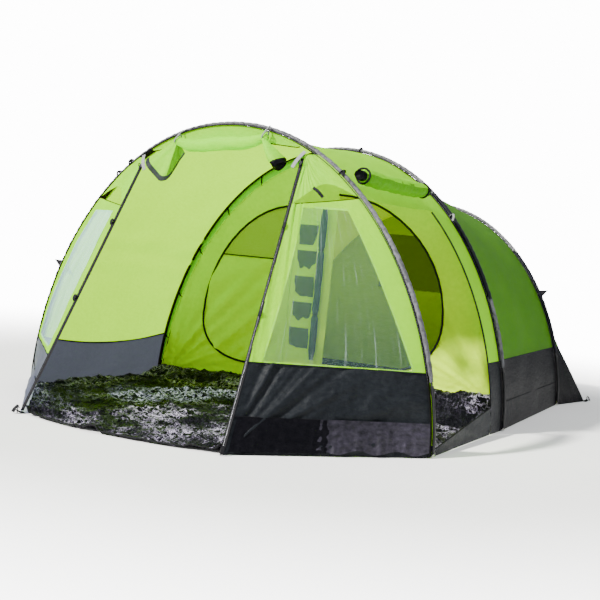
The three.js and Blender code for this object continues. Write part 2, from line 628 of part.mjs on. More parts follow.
const innerRearY = REAR.y - INNER_REAR_SET;
const windowCorners = (shrink) => [
  [-REAR_WINDOW.halfWidth + shrink, REAR_WINDOW.low + shrink],
  [REAR_WINDOW.halfWidth - shrink, REAR_WINDOW.low + shrink],
  [REAR_WINDOW.halfWidth - shrink, REAR_WINDOW.high - shrink],
  [-REAR_WINDOW.halfWidth + shrink, REAR_WINDOW.high - shrink],
].map((p) => new THREE.Vector2(...p));
const rearWall = new THREE.Shape(innerOutline(REAR, INNER_FOOT));
rearWall.holes.push(new THREE.Path(windowCorners(0)));
add("inner_rear_wall", leaningSheet(rearWall, innerRearY, REAR.lean, INNER_CLOTH), COLOUR.inner);
add("inner_rear_window", leaningSheet(new THREE.Shape(windowCorners(PART_GAP)), innerRearY, REAR.lean,
  INNER_CLOTH), COLOUR.mesh);

// ---- Groundsheets ----

// The porch sheet runs from the front corners to the inner tent, where its edge turns up.
function porchSheet() {
  const margin = 30;
  const lipY = innerFrontY - 8;
  const widthAt = (y) => {
    if (y <= FRONT.y) {
      return mix(BELL_HALF_WIDTH - 2 * margin, FRONT.halfWidth - CLOTH_INSET - margin,
        (y - FRONT.y + BELL_LENGTH - margin) / (BELL_LENGTH - margin));
    }
    return mix(FRONT.halfWidth, MIDDLE.halfWidth, (y - FRONT.y) / bayLength) - CLOTH_INSET - margin;
  };
  const rows = [...steps(3, FRONT.y - BELL_LENGTH + margin, FRONT.y), ...steps(3, FRONT.y, lipY).slice(1)];
  const lipHeight = (share) => mix(LIP_LEFT, LIP_RIGHT, share);
  const grid = steps(6).map((share) => {
    const row = rows.map((y) => new THREE.Vector3(mix(-1, 1, share) * widthAt(y), y, 0));
    const lipX = mix(-1, 1, share) * (widthAt(lipY) - margin);
    return [...row, new THREE.Vector3(lipX, lipY, lipHeight(share))];
  });
  return cloth(grid, SHEET);
}
add("porch_groundsheet", porchSheet(), COLOUR.sheet);

// The bedroom sheet is a tray with upturned edges.
function tub() {
  const front = innerFrontY + 14;
  const rear = innerRearY - 10;
  const halfWidth = (y) => {
    const hoopHalfWidth = mix(MIDDLE.halfWidth, REAR.halfWidth, (y - MIDDLE.y) / (REAR.y - MIDDLE.y));
    return hoopHalfWidth - CLOTH_INSET - TUB_INSET - 20;
  };
  const stations = [front, front + 3, mix(front, rear, 0.5), rear - 3, rear];
  const shares = [-1, -0.998, 0, 0.998, 1];
  const grid = stations.map((y, i) =>
    shares.map((share, j) => {
      const edge = i === 0 || i === stations.length - 1 || j === 0 || j === shares.length - 1;
      return new THREE.Vector3(share * halfWidth(y), y, edge ? TUB_HEIGHT : 0);
    }));
  return cloth(grid, SHEET);
}
add("bedroom_groundsheet", tub(), COLOUR.sheet);

// ---- Pegs: the hooked heads that show above the ground, one outside each corner ----
const corners = {
  front_peg_left: [-BELL_HALF_WIDTH, FRONT.y - BELL_LENGTH, -1],
  front_peg_right: [BELL_HALF_WIDTH, FRONT.y - BELL_LENGTH, -1],
  rear_peg_left: [-REAR_HALF_WIDTH, REAR.y + REAR_SLOPE, 1],
  rear_peg_right: [REAR_HALF_WIDTH, REAR.y + REAR_SLOPE, 1],
};
for (const [name, [x, cornerY, away]] of Object.entries(corners)) {
  const y = cornerY + away * PEG_STAND_OFF;
  const hook = [[x, y, 0], [x, y, PEG.height * 0.6], [x, y, PEG.height],
    [x, y - away * PEG.hook * 0.5, PEG.height + 6], [x, y - away * PEG.hook, PEG.height]];
  const geometry = rod(curveThrough(hook), PEG.radius, 6, 8);
  add(name, geometry, COLOUR.steel);
}

// ---- Guy tabs: triangles of webbing on the outside of the sleeves ----
function guyTab(hoop, angle) {
  const base = hoopPoint(hoop, angle, -SLEEVE_HALF_DEPTH - 1);
  const tip = hoopPoint(hoop, angle, -SLEEVE_HALF_DEPTH - TAB.length);
  const along = hoopPoint(hoop, angle + 0.01).sub(hoopPoint(hoop, angle)).normalize();
  const face = [base.clone().addScaledVector(along, TAB.width / 2),
    base.clone().addScaledVector(along, -TAB.width / 2), tip];
  const shift = new THREE.Vector3(0, TAB.depth, 0);
  const back = face.map((p) => p.clone().add(shift));
  const triangles = [[face[0], face[1], face[2]], [back[0], back[2], back[1]]];
  face.forEach((p, i) => {
    const next = (i + 1) % 3;
    triangles.push([p, back[i], back[next]], [p, back[next], face[next]]);
  });
  return solidOf(triangles);
}
const frontTabAngle = angleAt(FRONT, FRONT_TAB_HEIGHT);
const rearTabAngle = angleAt(REAR, REAR_TAB_HEIGHT);
add("guy_tab_front_left", guyTab(FRONT, Math.PI - frontTabAngle), COLOUR.black);
add("guy_tab_rear_left", guyTab(REAR, Math.PI - rearTabAngle), COLOUR.black);
add("guy_tab_rear_right", guyTab(REAR, rearTabAngle), COLOUR.black);

// The origin is under the middle of the footprint.
const box = new THREE.Box3().setFromObject(tent);
const middle = box.getCenter(new THREE.Vector3());
tent.position.set(-middle.x, -middle.y, -box.min.z);

export default tent;
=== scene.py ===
import json
import math

import bpy
import numpy as np
from mathutils import Matrix, Vector
from mathutils.geometry import delaunay_2d_cdt


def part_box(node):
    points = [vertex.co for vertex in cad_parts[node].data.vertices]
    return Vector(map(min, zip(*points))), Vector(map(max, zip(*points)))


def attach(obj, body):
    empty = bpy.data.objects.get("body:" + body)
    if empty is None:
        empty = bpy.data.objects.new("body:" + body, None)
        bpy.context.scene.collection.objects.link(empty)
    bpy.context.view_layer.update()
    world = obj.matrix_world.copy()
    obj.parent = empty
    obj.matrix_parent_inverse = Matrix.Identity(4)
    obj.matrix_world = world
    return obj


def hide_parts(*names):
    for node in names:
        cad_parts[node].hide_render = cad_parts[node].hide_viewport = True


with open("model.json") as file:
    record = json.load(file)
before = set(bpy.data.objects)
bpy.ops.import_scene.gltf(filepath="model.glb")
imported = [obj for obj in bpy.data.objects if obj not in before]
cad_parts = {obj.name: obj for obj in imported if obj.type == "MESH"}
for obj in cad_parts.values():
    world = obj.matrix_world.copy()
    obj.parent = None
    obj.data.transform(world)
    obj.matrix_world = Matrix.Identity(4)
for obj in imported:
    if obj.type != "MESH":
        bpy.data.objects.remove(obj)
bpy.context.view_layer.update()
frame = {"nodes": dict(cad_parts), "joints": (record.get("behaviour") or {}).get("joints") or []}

# A tunnel tent on three hoop poles: a porch with a bell end and a side doorway, and a bedroom with an
# inner tent under its flysheet. Metres, +Z up; the doorway faces -Y. "Along" runs from the front hoop
# to the rear one, "across" from the right foot of a hoop over the top to its left foot.

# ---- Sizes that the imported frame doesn't hold ----
SIDE_POWER, TOP_POWER = 2.04, 1.83  # how square the hoops' shoulders are
BOW_RADIUS, LEG_RADIUS, PIN_RADIUS = 0.00635, 0.0095, 0.003
SLEEVE_DEPTH, SLEEVE_WIDTH = 0.0115, 0.021  # half sizes of a pole sleeve
CLOTH_INSET, ROOF_SAG, SHOULDER = 0.015, 0.032, 0.93
SEAM_GAP = 0.004
BELL_EDGE = 0.026  # the bell end's edge in front of the front hoop's plane
SLIDER_STAND_OFF, ZIP_ASIDE = 0.009, 0.008
GAP_RISE = 0.105  # how far a gusset's lower edge arches above the bell panel's top
INNER_WALL_FOOT = 0.128  # height of the lower edge of the inner tent's side and rear walls
INNER_GAP, INNER_FOOT_GAP = 0.075, 0.03
SKIRT_TOP = 0.2  # the mud band's lower tier ends here
REAR_CORNER_ANGLE = 0.45
SWEEP_SIDES = 20  # points round a swept section
LEAST_FILLED = 0.35  # least share of its flat rectangle that a sheet may fill
UPRIGHT = (0, 1, 0.001)  # up for sections swept along a curve in an upright plane

# The bell end's two sides: the top edge of the panel at the zip and at the hoop, and how far across
# its window reaches, low and high.
BELLS = {
    "right": {"side": 1, "panel_top": (1.440, 1.510), "inner": (0.08, 0.16), "outer": (0.92, 0.72)},
    "left": {"side": -1, "panel_top": (1.350, 1.400), "inner": (0.16, 0.20), "outer": (0.90, 0.80)},
}


# ---- Camera and light ----
def make_camera():
    """The camera stands to the right of the doorway, at chest height, a little rolled."""
    yaw, pitch, roll = -0.5154, -0.052, 0.0881
    look = Vector((math.sin(yaw) * math.cos(pitch), math.cos(yaw) * math.cos(pitch), math.sin(pitch)))
    level = Vector((math.cos(yaw), -math.sin(yaw), 0))
    upright = level.cross(look)
    right = level * math.cos(roll) + upright * math.sin(roll)
    up = upright * math.cos(roll) - level * math.sin(roll)
    data = bpy.data.cameras.new("camera")
    data.lens = 66.45
    camera = bpy.data.objects.new("camera", data)
    place = Matrix.Translation((4.066, -7.561, 1.210))
    camera.matrix_world = place @ Matrix((right, up, -look)).transposed().to_4x4()
    bpy.context.scene.collection.objects.link(camera)
    bpy.context.scene.camera = camera


def make_lamp(name, kind, aim, energy, **settings):
    """A lamp in the direction aim from the tent, 9 m away and pointing at it."""
    data = bpy.data.lights.new(name, kind)
    data.energy = energy
    for key, value in settings.items():
        setattr(data, key, value)
    lamp = bpy.data.objects.new(name, data)
    lamp.location = Vector(aim).normalized() * 9
    lamp.rotation_euler = Vector(aim).to_track_quat("Z", "Y").to_euler()
    bpy.context.scene.collection.objects.link(lamp)


make_camera()
make_lamp("key_lamp", "SUN", (-0.50, -0.95, 0.80), 11.0, angle=0.06, color=(1.0, 0.985, 0.93))
make_lamp("porch_softbox", "AREA", (-0.25, -1.0, 0.22), 70, size=2.6)
make_lamp("top_lamp", "SUN", (0.25, 0.1, 1.0), 1.6, angle=0.6)
make_lamp("right_softbox", "AREA", (0.7, -1.0, 0.35), 90, size=4.0)


def make_world():
    """An even studio: soft light on the tent, and a white room behind it."""
    world = bpy.data.worlds.new("studio")
    world.use_nodes = True
    tree = world.node_tree
    tree.nodes.clear()
    soft = node(tree, "ShaderNodeBackground", {"Color": (0.92, 0.96, 1, 1), "Strength": 0.55}).outputs[0]
    room = node(tree, "ShaderNodeBackground", {"Color": (1, 1, 1, 1), "Strength": 14.0}).outputs[0]
    seen = node(tree, "ShaderNodeLightPath").outputs["Is Camera Ray"]
    both = node(tree, "ShaderNodeMixShader", {"Fac": seen, 1: soft, 2: room}).outputs[0]
    node(tree, "ShaderNodeOutputWorld", {"Surface": both})
    bpy.context.scene.world = world


# ---- Materials ----
def nodes_of(name):
    material = bpy.data.materials.new(name)
    material.use_nodes = True
    material.node_tree.nodes.clear()
    return material, material.node_tree


def node(tree, kind, sockets=None, **settings):
    """A node whose sockets are set to constants or linked to other nodes' outputs."""
    made = tree.nodes.new(kind)
    for key, value in settings.items():
        setattr(made, key, value)
    for key, value in (sockets or {}).items():
        if isinstance(value, bpy.types.NodeSocket):
            tree.links.new(value, made.inputs[key])
        else:
            made.inputs[key].default_value = value
    return made


def ramp(tree, factor, stops):
    """A colour ramp through (place, colour) stops."""
    made = node(tree, "ShaderNodeValToRGB", {"Fac": factor})
    elements = made.color_ramp.elements
    while len(elements) < len(stops):
        elements.new(0.5)
    for element, (place, colour) in zip(elements, stops):
        element.position = place
        element.color = (*colour, 1)
    return made.outputs["Color"]


def noise_of(tree, coordinate, scale, detail=3, stretch=(1, 1, 1), roughness=0.55):
    mapped = node(tree, "ShaderNodeMapping", {"Vector": coordinate, "Scale": stretch})
    return node(tree, "ShaderNodeTexNoise", {
        "Vector": mapped.outputs[0], "Scale": scale, "Detail": detail, "Roughness": roughness}).outputs["Fac"]


def weave_of(tree, coordinate, threads):
    """The height of a plain weave, from two crossed waves."""
    waves = [node(tree, "ShaderNodeTexWave", {"Vector": coordinate, "Scale": threads, "Distortion": 0.4},
                  bands_direction=direction).outputs["Fac"] for direction in "XY"]
    return node(tree, "ShaderNodeMath", {0: waves[0], 1: waves[1]}, operation="MULTIPLY").outputs[0]


def bump(tree, height, distance, below=None):
    sockets = {"Height": height, "Distance": distance, "Strength": 1.0}
    if below is not None:
        sockets["Normal"] = below
    return node(tree, "ShaderNodeBump", sockets).outputs["Normal"]


def cloth_material(name, light, dark, through=None, share=0.4, roughness=0.5, crinkle=0.0012,
                   coarse=9.0, specular=0.4):
    """Coated polyester: a fine weave, small crinkles, and light shining through if a colour is given."""
    material, tree = nodes_of(name)
    uv = node(tree, "ShaderNodeTexCoord").outputs["UV"]
    patches = noise_of(tree, uv, 1.6, 2)
    wear = noise_of(tree, uv, 34, 3)
    both = node(tree, "ShaderNodeMath", {0: patches, 1: wear, 2: 0.22}, operation="MULTIPLY_ADD").outputs[0]
    colour = ramp(tree, both, [(0.34, dark), (0.62, light)])
    rough = node(tree, "ShaderNodeMapRange", {
        "Value": wear, "To Min": roughness - 0.08, "To Max": roughness + 0.1}).outputs[0]
    creases = bump(tree, noise_of(tree, uv, coarse, 5, (1, 1.7, 1), 0.6), crinkle * 5)
    normal = bump(tree, weave_of(tree, uv, 260), crinkle * 0.12, creases)
    surface = node(tree, "ShaderNodeBsdfPrincipled", {
        "Base Color": colour, "Roughness": rough, "Normal": normal,
        "Specular IOR Level": specular}).outputs[0]
    if through:
        glow = node(tree, "ShaderNodeBsdfTranslucent", {"Color": (*through, 1), "Normal": normal}).outputs[0]
        surface = node(tree, "ShaderNodeMixShader", {"Fac": share, 1: surface, 2: glow}).outputs[0]
    node(tree, "ShaderNodeOutputMaterial", {"Surface": surface})
    return material


def film_material(name, tint, least, most):
    """Clear window film: a faint tint, long pale scuffs, and how much they hide at least and at most."""
    material, tree = nodes_of(name)
    uv = node(tree, "ShaderNodeTexCoord").outputs["UV"]
    turned = node(tree, "ShaderNodeMapping", {"Vector": uv, "Rotation": (0, 0, 1.05), "Scale": (26, 0.9, 1)})
    streaks = node(tree, "ShaderNodeTexNoise", {"Vector": turned.outputs[0], "Scale": 1.6, "Detail": 6,
                                                "Roughness": 0.7}).outputs["Fac"]
    ripple = noise_of(tree, uv, 6, 4)
    hidden = node(tree, "ShaderNodeMapRange", {
        "Value": streaks, "From Min": 0.58, "From Max": 0.80, "To Min": least, "To Max": most}).outputs[0]
    colour = ramp(tree, streaks, [(0.45, (0.42, 0.78, 0.76)), (0.72, (0.74, 0.93, 0.96))])
    film = node(tree, "ShaderNodeBsdfPrincipled", {
        "Base Color": colour, "Roughness": 0.15, "Specular IOR Level": 0.5,
        "Normal": bump(tree, ripple, 0.006)}).outputs[0]
    clear = node(tree, "ShaderNodeBsdfTransparent", {"Color": (*tint, 1)}).outputs[0]
    mixed = node(tree, "ShaderNodeMixShader", {"Fac": hidden, 1: clear, 2: film}).outputs[0]
    node(tree, "ShaderNodeOutputMaterial", {"Surface": mixed})
    return material


def mesh_material(name, colour, hidden):
    """Insect mesh: fine crossed threads that let part of the light through."""
    material, tree = nodes_of(name)
    uv = node(tree, "ShaderNodeTexCoord").outputs["UV"]
    grain = noise_of(tree, uv, 120, 2)
    shade = ramp(tree, grain, [(0.35, [c * 0.75 for c in colour]), (0.65, colour)])
    threads = node(tree, "ShaderNodeBsdfPrincipled", {
        "Base Color": shade, "Roughness": 0.8,
        "Normal": bump(tree, weave_of(tree, uv, 120), 0.0004)}).outputs[0]
    clear = node(tree, "ShaderNodeBsdfTransparent", {"Color": (1, 1, 1, 1)}).outputs[0]
    mixed = node(tree, "ShaderNodeMixShader", {"Fac": hidden, 1: clear, 2: threads}).outputs[0]
    node(tree, "ShaderNodeOutputMaterial", {"Surface": mixed})
    return material


def crease_lines(tree, height, width):
    """Thin lines where a height crosses its middle: 1 on a line, 0 away from it."""
    off = node(tree, "ShaderNodeMath", {0: height, 1: 0.5}, operation="SUBTRACT").outputs[0]
    off = node(tree, "ShaderNodeMath", {0: off}, operation="ABSOLUTE").outputs[0]
    return node(tree, "ShaderNodeMapRange", {
        "Value": off, "From Min": 0.0, "From Max": width, "To Min": 1.0, "To Max": 0.0}).outputs[0]


def sheet_material():
    """Glossy black polythene: crackled all over, with pale painted glints along its creases."""
    material, tree = nodes_of("groundsheet_film")
    uv = node(tree, "ShaderNodeTexCoord").outputs["UV"]
    crackle = node(tree, "ShaderNodeTexVoronoi", {"Vector": uv, "Scale": 19, "Randomness": 1.0},
                   feature="DISTANCE_TO_EDGE").outputs["Distance"]
    fine = noise_of(tree, uv, 46, 6, roughness=0.7)
    long_lines = crease_lines(tree, noise_of(tree, uv, 5.0, 6, (1.0, 2.4, 1), 0.62), 0.020)
    cross_lines = crease_lines(tree, noise_of(tree, uv, 8.5, 6, (2.2, 1.0, 1), 0.65), 0.024)
    lines = node(tree, "ShaderNodeMath", {0: long_lines, 1: cross_lines}, operation="MAXIMUM").outputs[0]
    patches = node(tree, "ShaderNodeMapRange", {
        "Value": noise_of(tree, uv, 1.9, 4), "From Min": 0.38, "From Max": 0.58, "To Min": 0.25,
        "To Max": 1.0})
    # The pale marks along the creases are painted glints: light caught by the crinkled film, painted into its
    # colour.
    painted_glint = node(tree, "ShaderNodeMath", {0: lines, 1: patches.outputs[0]}, operation="MULTIPLY").outputs[0]
    painted_glint = node(tree, "ShaderNodeMath", {0: painted_glint, 1: fine}, operation="MULTIPLY").outputs[0]
    colour = ramp(tree, painted_glint, [(0.06, (0.003, 0.003, 0.005)), (0.20, (0.034, 0.030, 0.046)),
                                 (0.42, (0.66, 0.58, 0.82))])
    normal = bump(tree, crackle, 0.030)
    normal = bump(tree, fine, 0.020, normal)
    surface = node(tree, "ShaderNodeBsdfPrincipled", {
        "Base Color": colour, "Roughness": 0.30, "Specular IOR Level": 0.05, "Normal": normal}).outputs[0]
    node(tree, "ShaderNodeOutputMaterial", {"Surface": surface})
    return material


def floor_material():
    """A plain pale floor that fades out far from the tent."""
    material, tree = nodes_of("pale_floor")
    place = node(tree, "ShaderNodeTexCoord").outputs["Object"]
    patches = noise_of(tree, place, 0.6, 3)
    colour = ramp(tree, patches, [(0.35, (0.90, 0.90, 0.89)), (0.68, (0.94, 0.94, 0.93))])
    surface = node(tree, "ShaderNodeBsdfPrincipled", {"Base Color": colour, "Roughness": 0.8}).outputs[0]
    distance = node(tree, "ShaderNodeVectorMath", {0: place}, operation="LENGTH").outputs["Value"]
    fade = node(tree, "ShaderNodeMapRange", {
        "Value": distance, "From Min": 3.0, "From Max": 8.5, "To Min": 0.0, "To Max": 1.0},
        interpolation_type="SMOOTHSTEP").outputs[0]
    clear = node(tree, "ShaderNodeBsdfTransparent", {"Color": (1, 1, 1, 1)}).outputs[0]
    mixed = node(tree, "ShaderNodeMixShader", {"Fac": fade, 1: surface, 2: clear}).outputs[0]
    node(tree, "ShaderNodeOutputMaterial", {"Surface": mixed})
    return material


def solid_material(name, light, dark, roughness, metallic=0.0, scale=60, grain=0.0006, specular=0.5):
    """Metal, moulded plastic or webbing: two shades over a grain, read from the piece's own place."""
    material, tree = nodes_of(name)
    place = node(tree, "ShaderNodeTexCoord").outputs["Object"]
    patches = noise_of(tree, place, scale, 4)
    colour = ramp(tree, patches, [(0.35, dark), (0.68, light)])
    rough = node(tree, "ShaderNodeMapRange", {
        "Value": patches, "To Min": roughness * 0.7, "To Max": roughness * 1.3}).outputs[0]
    surface = node(tree, "ShaderNodeBsdfPrincipled", {
        "Base Color": colour, "Roughness": rough, "Metallic": metallic, "Specular IOR Level": specular,
        "Normal": bump(tree, patches, grain)}).outputs[0]
    node(tree, "ShaderNodeOutputMaterial", {"Surface": surface})
    return material


LIME = cloth_material("lime_flysheet", (0.38, 0.84, 0.0005), (0.27, 0.70, 0.0005), (0.50, 1.0, 0.0005), 0.50,
                      specular=0.10)
# The lime flysheet cloth painted a darker green: painted shade, used on the bedroom bay, the rear slope and
# the shaded sides of the door rolls.
SHADED_LIME = cloth_material("shaded_lime_flysheet", (0.060, 0.20, 0.002), (0.030, 0.12, 0.001), (0.55, 0.95, 0.002),
                       0.32, specular=0.10)
INNER = cloth_material("inner_cloth", (0.66, 0.92, 0.004), (0.52, 0.80, 0.003), (0.80, 1.0, 0.003), 0.30,
                       roughness=0.65, specular=0.15)
SHADED_INNER = cloth_material("shaded_inner_cloth", (0.56, 0.66, 0.012), (0.44, 0.56, 0.008),
                              (0.95, 1.0, 0.01),
                              0.55, roughness=0.7, specular=0.1)
PALE_INNER = cloth_material("inner_strip", (0.30, 0.74, 0.10), (0.24, 0.62, 0.07), (0.40, 0.95, 0.14), 0.45,
                            specular=0.15)
BAND = cloth_material("band_cloth", (0.010, 0.012, 0.015), (0.004, 0.005, 0.007), (0.02, 0.024, 0.035), 0.06,
                      roughness=0.36, coarse=14, crinkle=0.0018, specular=0.10)
# A paler copy of the band cloth for band seen from inside the porch: some light shines through it, and its
# paler colour is painted light coming through.
INSIDE_BAND = cloth_material("inside_band_cloth", (0.026, 0.028, 0.036), (0.017, 0.019, 0.025),
                             (0.12, 0.13, 0.18), 0.26, roughness=0.55, coarse=10, specular=0.12)
# A paler copy of the band cloth for the bell's left band: light shines through it, and its paler colour is
# painted sunlight.
SUNLIT_BAND = cloth_material("painted_sunlit_band_cloth", (0.115, 0.12, 0.165), (0.060, 0.062, 0.090), (0.50, 0.53, 0.74),
                           0.42, roughness=0.4, coarse=14, specular=0.4)
SKIRT = cloth_material("skirt_cloth", (0.0035, 0.0032, 0.005), (0.001, 0.001, 0.002), None,
                       roughness=0.40, coarse=18, crinkle=0.0016, specular=0.05)
RUFFLE = cloth_material("ruffle_cloth", (0.030, 0.026, 0.040), (0.003, 0.003, 0.005), None, roughness=0.40,
                        coarse=16, crinkle=0.0016, specular=0.15)
SILVER = cloth_material("silver_sleeve", (0.20, 0.20, 0.22), (0.018, 0.018, 0.022), None,
                        roughness=0.36, coarse=30, crinkle=0.0026, specular=0.3)
# A black copy of the silver sleeve cloth: painted shade where the sleeves lie in shadow.
SHADED_SLEEVE = cloth_material("painted_shade_sleeve", (0.009, 0.010, 0.016), (0.003, 0.003, 0.006), None,
                              roughness=0.42, coarse=30, crinkle=0.0012, specular=0.14)
BINDING = cloth_material("black_binding", (0.007, 0.007, 0.009), (0.003, 0.003, 0.004), None,
                         roughness=0.6, coarse=40, crinkle=0.0008, specular=0.08)
# Dark olive cloth: the hems' own colour, and the strip of painted pole shadow inside the hoops.
HEM_AND_POLE_SHADOW = cloth_material("hem_and_painted_pole_shadow", (0.020, 0.017, 0.003), (0.007, 0.006, 0.001), None,
                             roughness=0.6, coarse=30, specular=0.06)
FILM = film_material("window_film", (1.0, 1.0, 0.97), 0.04, 0.34)
# A paler copy of the window film for the left window: its scuffs are real, and its heavier pale cover is
# painted sunlight.
PALE_FILM = film_material("pale_window_film", (0.80, 0.96, 1.0), 0.42, 0.80)
DOOR_MESH = mesh_material("door_mesh", (0.30, 0.42, 0.05), 0.72)
DARK_MESH = mesh_material("dark_mesh", (0.030, 0.045, 0.040), 0.74)
SHEET = sheet_material()
STEEL = solid_material("coated_steel", (0.012, 0.012, 0.014), (0.005, 0.005, 0.006), 0.35, 0.0, 60, 0.0006,
                       0.3)
BRIGHT_STEEL = solid_material("bright_steel", (0.62, 0.61, 0.58), (0.36, 0.35, 0.33), 0.3, 1.0, 90)
FIBRE = solid_material("glass_fibre", (0.03, 0.03, 0.032), (0.012, 0.012, 0.013), 0.4, 0.0, 120)
WEBBING = solid_material("webbing", (0.010, 0.010, 0.013), (0.003, 0.003, 0.004), 0.7, 0.0, 420, 0.0012, 0.12)
TAPE = solid_material("zip_tape", (0.008, 0.008, 0.010), (0.003, 0.003, 0.004), 0.6, 0.0, 300, 0.0008, 0.10)
SLIDER = solid_material("slider_metal", (0.10, 0.10, 0.11), (0.03, 0.03, 0.035), 0.3, 0.9, 200)
GREY_WEB = solid_material("grey_webbing", (0.30, 0.30, 0.31), (0.15, 0.15, 0.16), 0.7, 0.0, 380, 0.0012, 0.3)
ROLLED_MESH = cloth_material("rolled_mesh", (0.030, 0.075, 0.070), (0.012, 0.030, 0.032), None, roughness=0.6,
                             coarse=24, specular=0.2)
PALE_FLOOR = floor_material()


make_world()


# ---- Numbers ----
def smooth(t):
    t = np.clip(t, 0, 1)
    return t * t * (3 - 2 * t)


def mix(a, b, t):
    return a + (b - a) * t


def as_is(value):
    return value


def other_side(angle):
    """The hoop angle at the same height on the tent's left."""
    return np.pi - angle


def unit(vector):
    return np.asarray(vector, float) / np.linalg.norm(vector)


def spread(first, second):
    """A grid of two values, each given as its start, end and count."""
    return np.meshgrid(np.linspace(*first), np.linspace(*second), indexing="ij")


def round_path(centre, across, up, count=24):
    """A closed round path with two half axes."""
    turn = np.linspace(0, 2 * np.pi, count)[:, None]
    return np.asarray(centre, float) + np.cos(turn) * np.asarray(across) + np.sin(turn) * np.asarray(up)


def rectangle(x0, z0, x1, z1):
    return [(x0, z0), (x1, z0), (x1, z1), (x0, z1)]


def noise(x, y, seed=0):
    """Smooth gradient noise between about -0.7 and 0.7, the same on every run."""
    x, y = np.broadcast_arrays(np.asarray(x, float), np.asarray(y, float))
    xi, yi = np.floor(x), np.floor(y)
    fx, fy = x - xi, y - yi

    def slope(i, j):
        spin = np.sin(i * 127.1 + j * 311.7 + seed * 74.7) * 43758.5453
        turn = (spin - np.floor(spin)) * 2 * np.pi
        return np.cos(turn) * (x - i) + np.sin(turn) * (y - j)

    u, v = fx * fx * fx * (fx * (fx * 6 - 15) + 10), fy * fy * fy * (fy * (fy * 6 - 15) + 10)
    low = mix(slope(xi, yi), slope(xi + 1, yi), u)
    high = mix(slope(xi, yi + 1), slope(xi + 1, yi + 1), u)
    return mix(low, high, v)


def crease(x, y, seed=0):
    """Ridges where the noise crosses zero, from 0 to 1."""
    return (1 - np.minimum(1, 3.2 * np.abs(noise(x, y, seed)))) ** 1.6


def crumple(x, y, seed=0, octaves=4):
    """Sharp-edged facets at several sizes, as in a creased film."""
    total, size = np.zeros(np.shape(x)), 1.0
    for k in range(octaves):
        turn = 0.9 + 1.7 * k + seed
        a, b = np.cos(turn), np.sin(turn)
        total = total + size * (crease((a * x - b * y) * 2 ** k, (b * x + a * y) * 2 ** k,
                                       seed + 5 * k) - 0.35)
        size *= 0.52
    return total


def rays(x, y, centre, count, reach, seed=0):
    """Folds that fan out from a point and fade with distance."""
    dx, dy = x - centre[0], y - centre[1]
    away = np.hypot(dx, dy)
    turn = np.arctan2(dy, dx)
    fold = noise(turn * count, away * 1.2 + 7.3, seed) + 0.5 * noise(turn * count * 2.3, away * 2, seed + 3)
    return fold * smooth(away / (0.12 * reach)) * np.exp(-((away / reach) ** 2)) * 1.3


# ---- Hoops ----
class Hoop:
    """A hoop pole's curve, read from its bow and its leg."""

    def __init__(self, name):
        bow_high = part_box(f"{name}_pole_bow")[1]
        leg_low, leg_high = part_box(f"{name}_pole_leg_right")
        self.height = bow_high.z - BOW_RADIUS
        self.half_width = leg_high.x - LEG_RADIUS
        self.y = leg_low.y + LEG_RADIUS
        self.lean = (bow_high.y - BOW_RADIUS - self.y) / self.height
        self.sleeve_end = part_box(f"{name}_pole_sleeve")[0].z
        self.leg_top = leg_high.z

    def at(self, angle, inset=0.0):
        """Points of the curve, moved inwards by an inset."""
        cosine, sine = np.cos(angle), np.abs(np.sin(angle))
        across = np.sign(cosine) * np.abs(cosine) ** (2 / SIDE_POWER)
        up = sine ** (2 / TOP_POWER)
        nx = SIDE_POWER * np.sign(across) * np.abs(across) ** (SIDE_POWER - 1) / self.half_width
        nz = TOP_POWER * up ** (TOP_POWER - 1) / self.height
        size = np.hypot(nx, nz)
        x = self.half_width * across - inset * nx / size
        z = self.height * up - inset * nz / size
        return np.stack(np.broadcast_arrays(x, self.y + self.lean * z, z), -1)

    def angle(self, height):
        return np.arcsin(np.minimum(1, height / self.height) ** (TOP_POWER / 2))

    def half_width_at(self, height, inset=0.0):
        return self.at(self.angle(height), inset)[..., 0]


FRONT, MIDDLE, REAR = Hoop("front"), Hoop("middle"), Hoop("rear")
HOOPS = {"front": FRONT, "middle": MIDDLE, "rear": REAR}
TENT_MIDDLE = np.array([0, (FRONT.y + REAR.y) / 2, 0.55])


# ---- Meshes ----
def make_object(name, points, faces, corner_uvs=None, materials=(), face_slots=None):
    mesh = bpy.data.meshes.new(name)
    mesh.from_pydata([tuple(p) for p in points], [], [tuple(int(i) for i in f) for f in faces])
    if corner_uvs is not None:
        layer = mesh.uv_layers.new(name="cloth_metres")
        layer.data.foreach_set("uv", np.asarray(corner_uvs, np.float32).ravel())
    for material in materials:
        mesh.materials.append(material)
    if face_slots is not None:
        mesh.polygons.foreach_set("material_index", np.asarray(face_slots, np.int32))
    mesh.polygons.foreach_set("use_smooth", [True] * len(mesh.polygons))
    mesh.update()
    made = bpy.data.objects.new(name, mesh)
    bpy.context.scene.collection.objects.link(made)
    return made


def belong(piece, body="tent", stands_for=()):
    """Puts a piece on its body and hides the plain nodes that it stands for."""
    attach(piece, body)
    if stands_for:
        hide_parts(*stands_for)
    return piece


def repaint(node_name, material):
    """Gives a node that is shown as packed its real material."""
    materials = frame["nodes"][node_name].data.materials
    materials.clear()
    materials.append(material)


def normals_of(grid):
    du, dv = np.gradient(grid, axis=0), np.gradient(grid, axis=1)
    normal = np.cross(du, dv)
    return normal / np.maximum(1e-12, np.linalg.norm(normal, axis=-1, keepdims=True))


def lengths(grid):
    """Distances along both directions of a grid, in metres, as texture coordinates."""
    def running(axis):
        step = np.linalg.norm(np.diff(grid, axis=axis), axis=-1)
        pad = [(0, 0), (0, 0)]
        pad[axis] = (1, 0)
        return np.pad(np.cumsum(step, axis=axis), pad)
    s, t = running(0), running(1)
    return np.stack([np.repeat(s.mean(1, keepdims=True), grid.shape[1], 1), t], -1)


